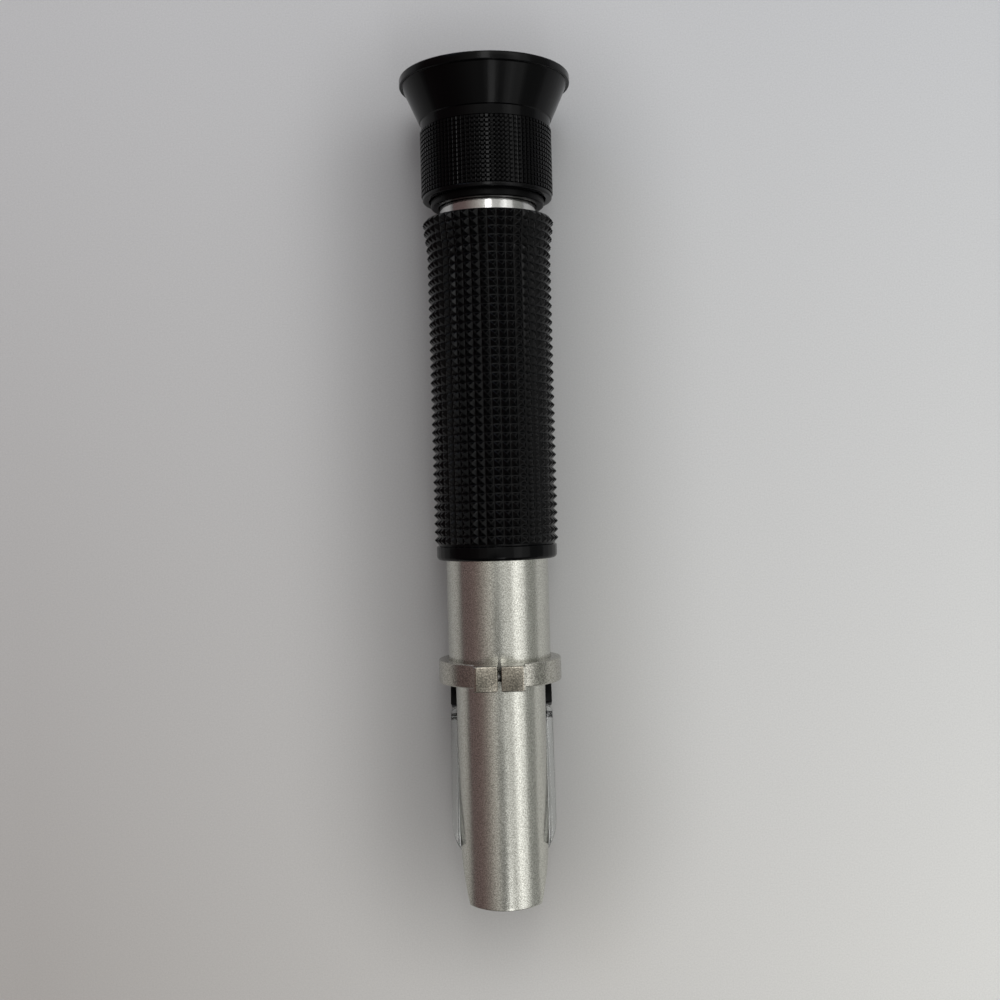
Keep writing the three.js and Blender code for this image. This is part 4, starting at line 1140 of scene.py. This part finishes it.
# A value that goes from one share to another as the direction moves away from a given one.
def addSpot(tree, direction, middle, near, far, inner, outer):
    away = addNode(tree, "VectorMath", {0: direction, 1: middle}, operation="DISTANCE").outputs["Value"]
    return addRange(tree, away, near, far, inner, outer, interpolation_type="SMOOTHSTEP")


def makeRoom():
    world = bpy.data.worlds.new("room")
    bpy.context.scene.world = world
    world.use_nodes = True
    tree = world.node_tree
    background = tree.nodes["Background"]
    place = addNode(tree, "TexCoord").outputs["Generated"]
    direction = addNode(tree, "SeparateXYZ", {"Vector": place})
    across = addRange(tree, direction.outputs["X"], -1.0, 1.0)
    colours = addRamp(tree, across, room["colours"]).outputs["Color"]
    start, end, share = room["prismEnd"]
    towardsPrism = addMath(tree, "MULTIPLY", direction.outputs["Y"], -1.0)
    prismEnd = addRange(tree, towardsPrism, start, end, 1.0, share)
    middle, near, far, share = room["shade"]
    dimmed = addMath(tree, "MULTIPLY", prismEnd, addSpot(tree, place, middle, near, far, share, 1.0))
    middle, near, far, colour = room["window"]
    window = addSpot(tree, place, middle, near, far, 1.0, 0.0)
    walls = addNode(tree, "VectorMath", {0: colours, "Scale": dimmed}, operation="SCALE").outputs["Vector"]
    mixed = addNode(tree, "MixRGB", {"Fac": window, "Color1": walls, "Color2": (*colour, 1)})
    tree.links.new(mixed.outputs["Color"], background.inputs["Color"])


for name, lamp in lamps.items():
    addLamp(name, *lamp)
makeRoom()

floor = {
    "half": 3.0, "spread": 0.1, "roughness": 0.85, "specular": 0.2, "grain": 3000, "speckle": (0.89, 1.11),
    # painted light and shade: the floor is lighter to the right and darker to the left, most at the prism end
    "near": ((0.51, 0.49, 0.475), (0.875, 0.88, 0.86)),  # left and right, at the prism end
    "far": ((0.62, 0.62, 0.64), (0.70, 0.715, 0.74)),  # left and right, at the eyepiece end
    "length": 65 * mm,  # half the stretch of Y that the instrument shades
    # painted shadow beside the instrument, then painted shade that darkens the floor far out from it
    "paintedShadow": (10 * mm, 48 * mm, 0.72, 1.0),  # inner and outer distance from that stretch, and the share at each
    "outside": (0.12, 0.26, 1.0, 0.45),
}


def makeFloor():
    half, spread = floor["half"], floor["spread"]
    mesh = bpy.data.meshes.new("floor")
    corners = [(-half, -half, 0), (half, -half, 0), (half, half, 0), (-half, half, 0)]
    mesh.from_pydata(corners, [], [(0, 1, 2, 3)])
    item = bpy.data.objects.new("floor", mesh)
    bpy.context.scene.collection.objects.link(item)
    material = bpy.data.materials.new("paleFloor")
    material.use_nodes = True
    tree = material.node_tree
    shader, output = tree.nodes["Principled BSDF"], tree.nodes["Material Output"]
    shader.inputs["Roughness"].default_value = floor["roughness"]
    shader.inputs["Specular IOR Level"].default_value = floor["specular"]
    place = addNode(tree, "SeparateXYZ", {"Vector": addNode(tree, "TexCoord").outputs["Object"]}).outputs
    # Painted light and shade: the floor's colour goes from left to right and from the prism end to the
    # eyepiece end.
    across, along = (addRange(tree, place[axis], -spread, spread) for axis in ("X", "Y"))
    near, far = (addRamp(tree, across, list(enumerate(floor[end]))) for end in ("near", "far"))
    shades = {"Fac": along, "Color1": near.outputs["Color"], "Color2": far.outputs["Color"]}
    colour = addNode(tree, "MixRGB", shades).outputs["Color"]
    # Painted shadow along the instrument and painted shade far out from it darken the floor's colour, with
    # its grain.
    beyond = addMath(tree, "SUBTRACT", addMath(tree, "ABSOLUTE", place["Y"]), floor["length"])
    aside = addNode(tree, "CombineXYZ", {"X": place["X"], "Y": addMath(tree, "MAXIMUM", beyond, 0.0)})
    distance = addNode(tree, "VectorMath", {0: aside.outputs[0]}, operation="LENGTH").outputs["Value"]
    paintedShadow, outside = (
        addRange(tree, distance, *floor[name], interpolation_type="SMOOTHSTEP") for name in ("paintedShadow", "outside")
    )
    settings = {"Grains per metre": floor["grain"], "Contrast": 1.0}
    grain = addNode(tree, "Group", settings, node_tree=grainGroup)
    speckle = addRange(tree, grain.outputs["Speckle"], 0.0, 1.0, *floor["speckle"])
    level = addMath(tree, "MULTIPLY", addMath(tree, "MULTIPLY", paintedShadow, outside), speckle)
    paintedFloorColour = addNode(tree, "VectorMath", {0: colour, "Scale": level}, operation="SCALE")
    tree.links.new(paintedFloorColour.outputs["Vector"], shader.inputs["Base Color"])
    clear = addNode(tree, "BsdfTransparent")
    side = addNode(tree, "NewGeometry")
    mixed = addNode(tree, "MixShader", {0: side.outputs["Backfacing"]})
    tree.links.new(shader.outputs[0], mixed.inputs[1])
    tree.links.new(clear.outputs[0], mixed.inputs[2])
    tree.links.new(mixed.outputs[0], output.inputs["Surface"])
    item.data.materials.append(material)


makeFloor()
bpy.context.scene.view_settings.view_transform = "Standard"
print("light and floor done")
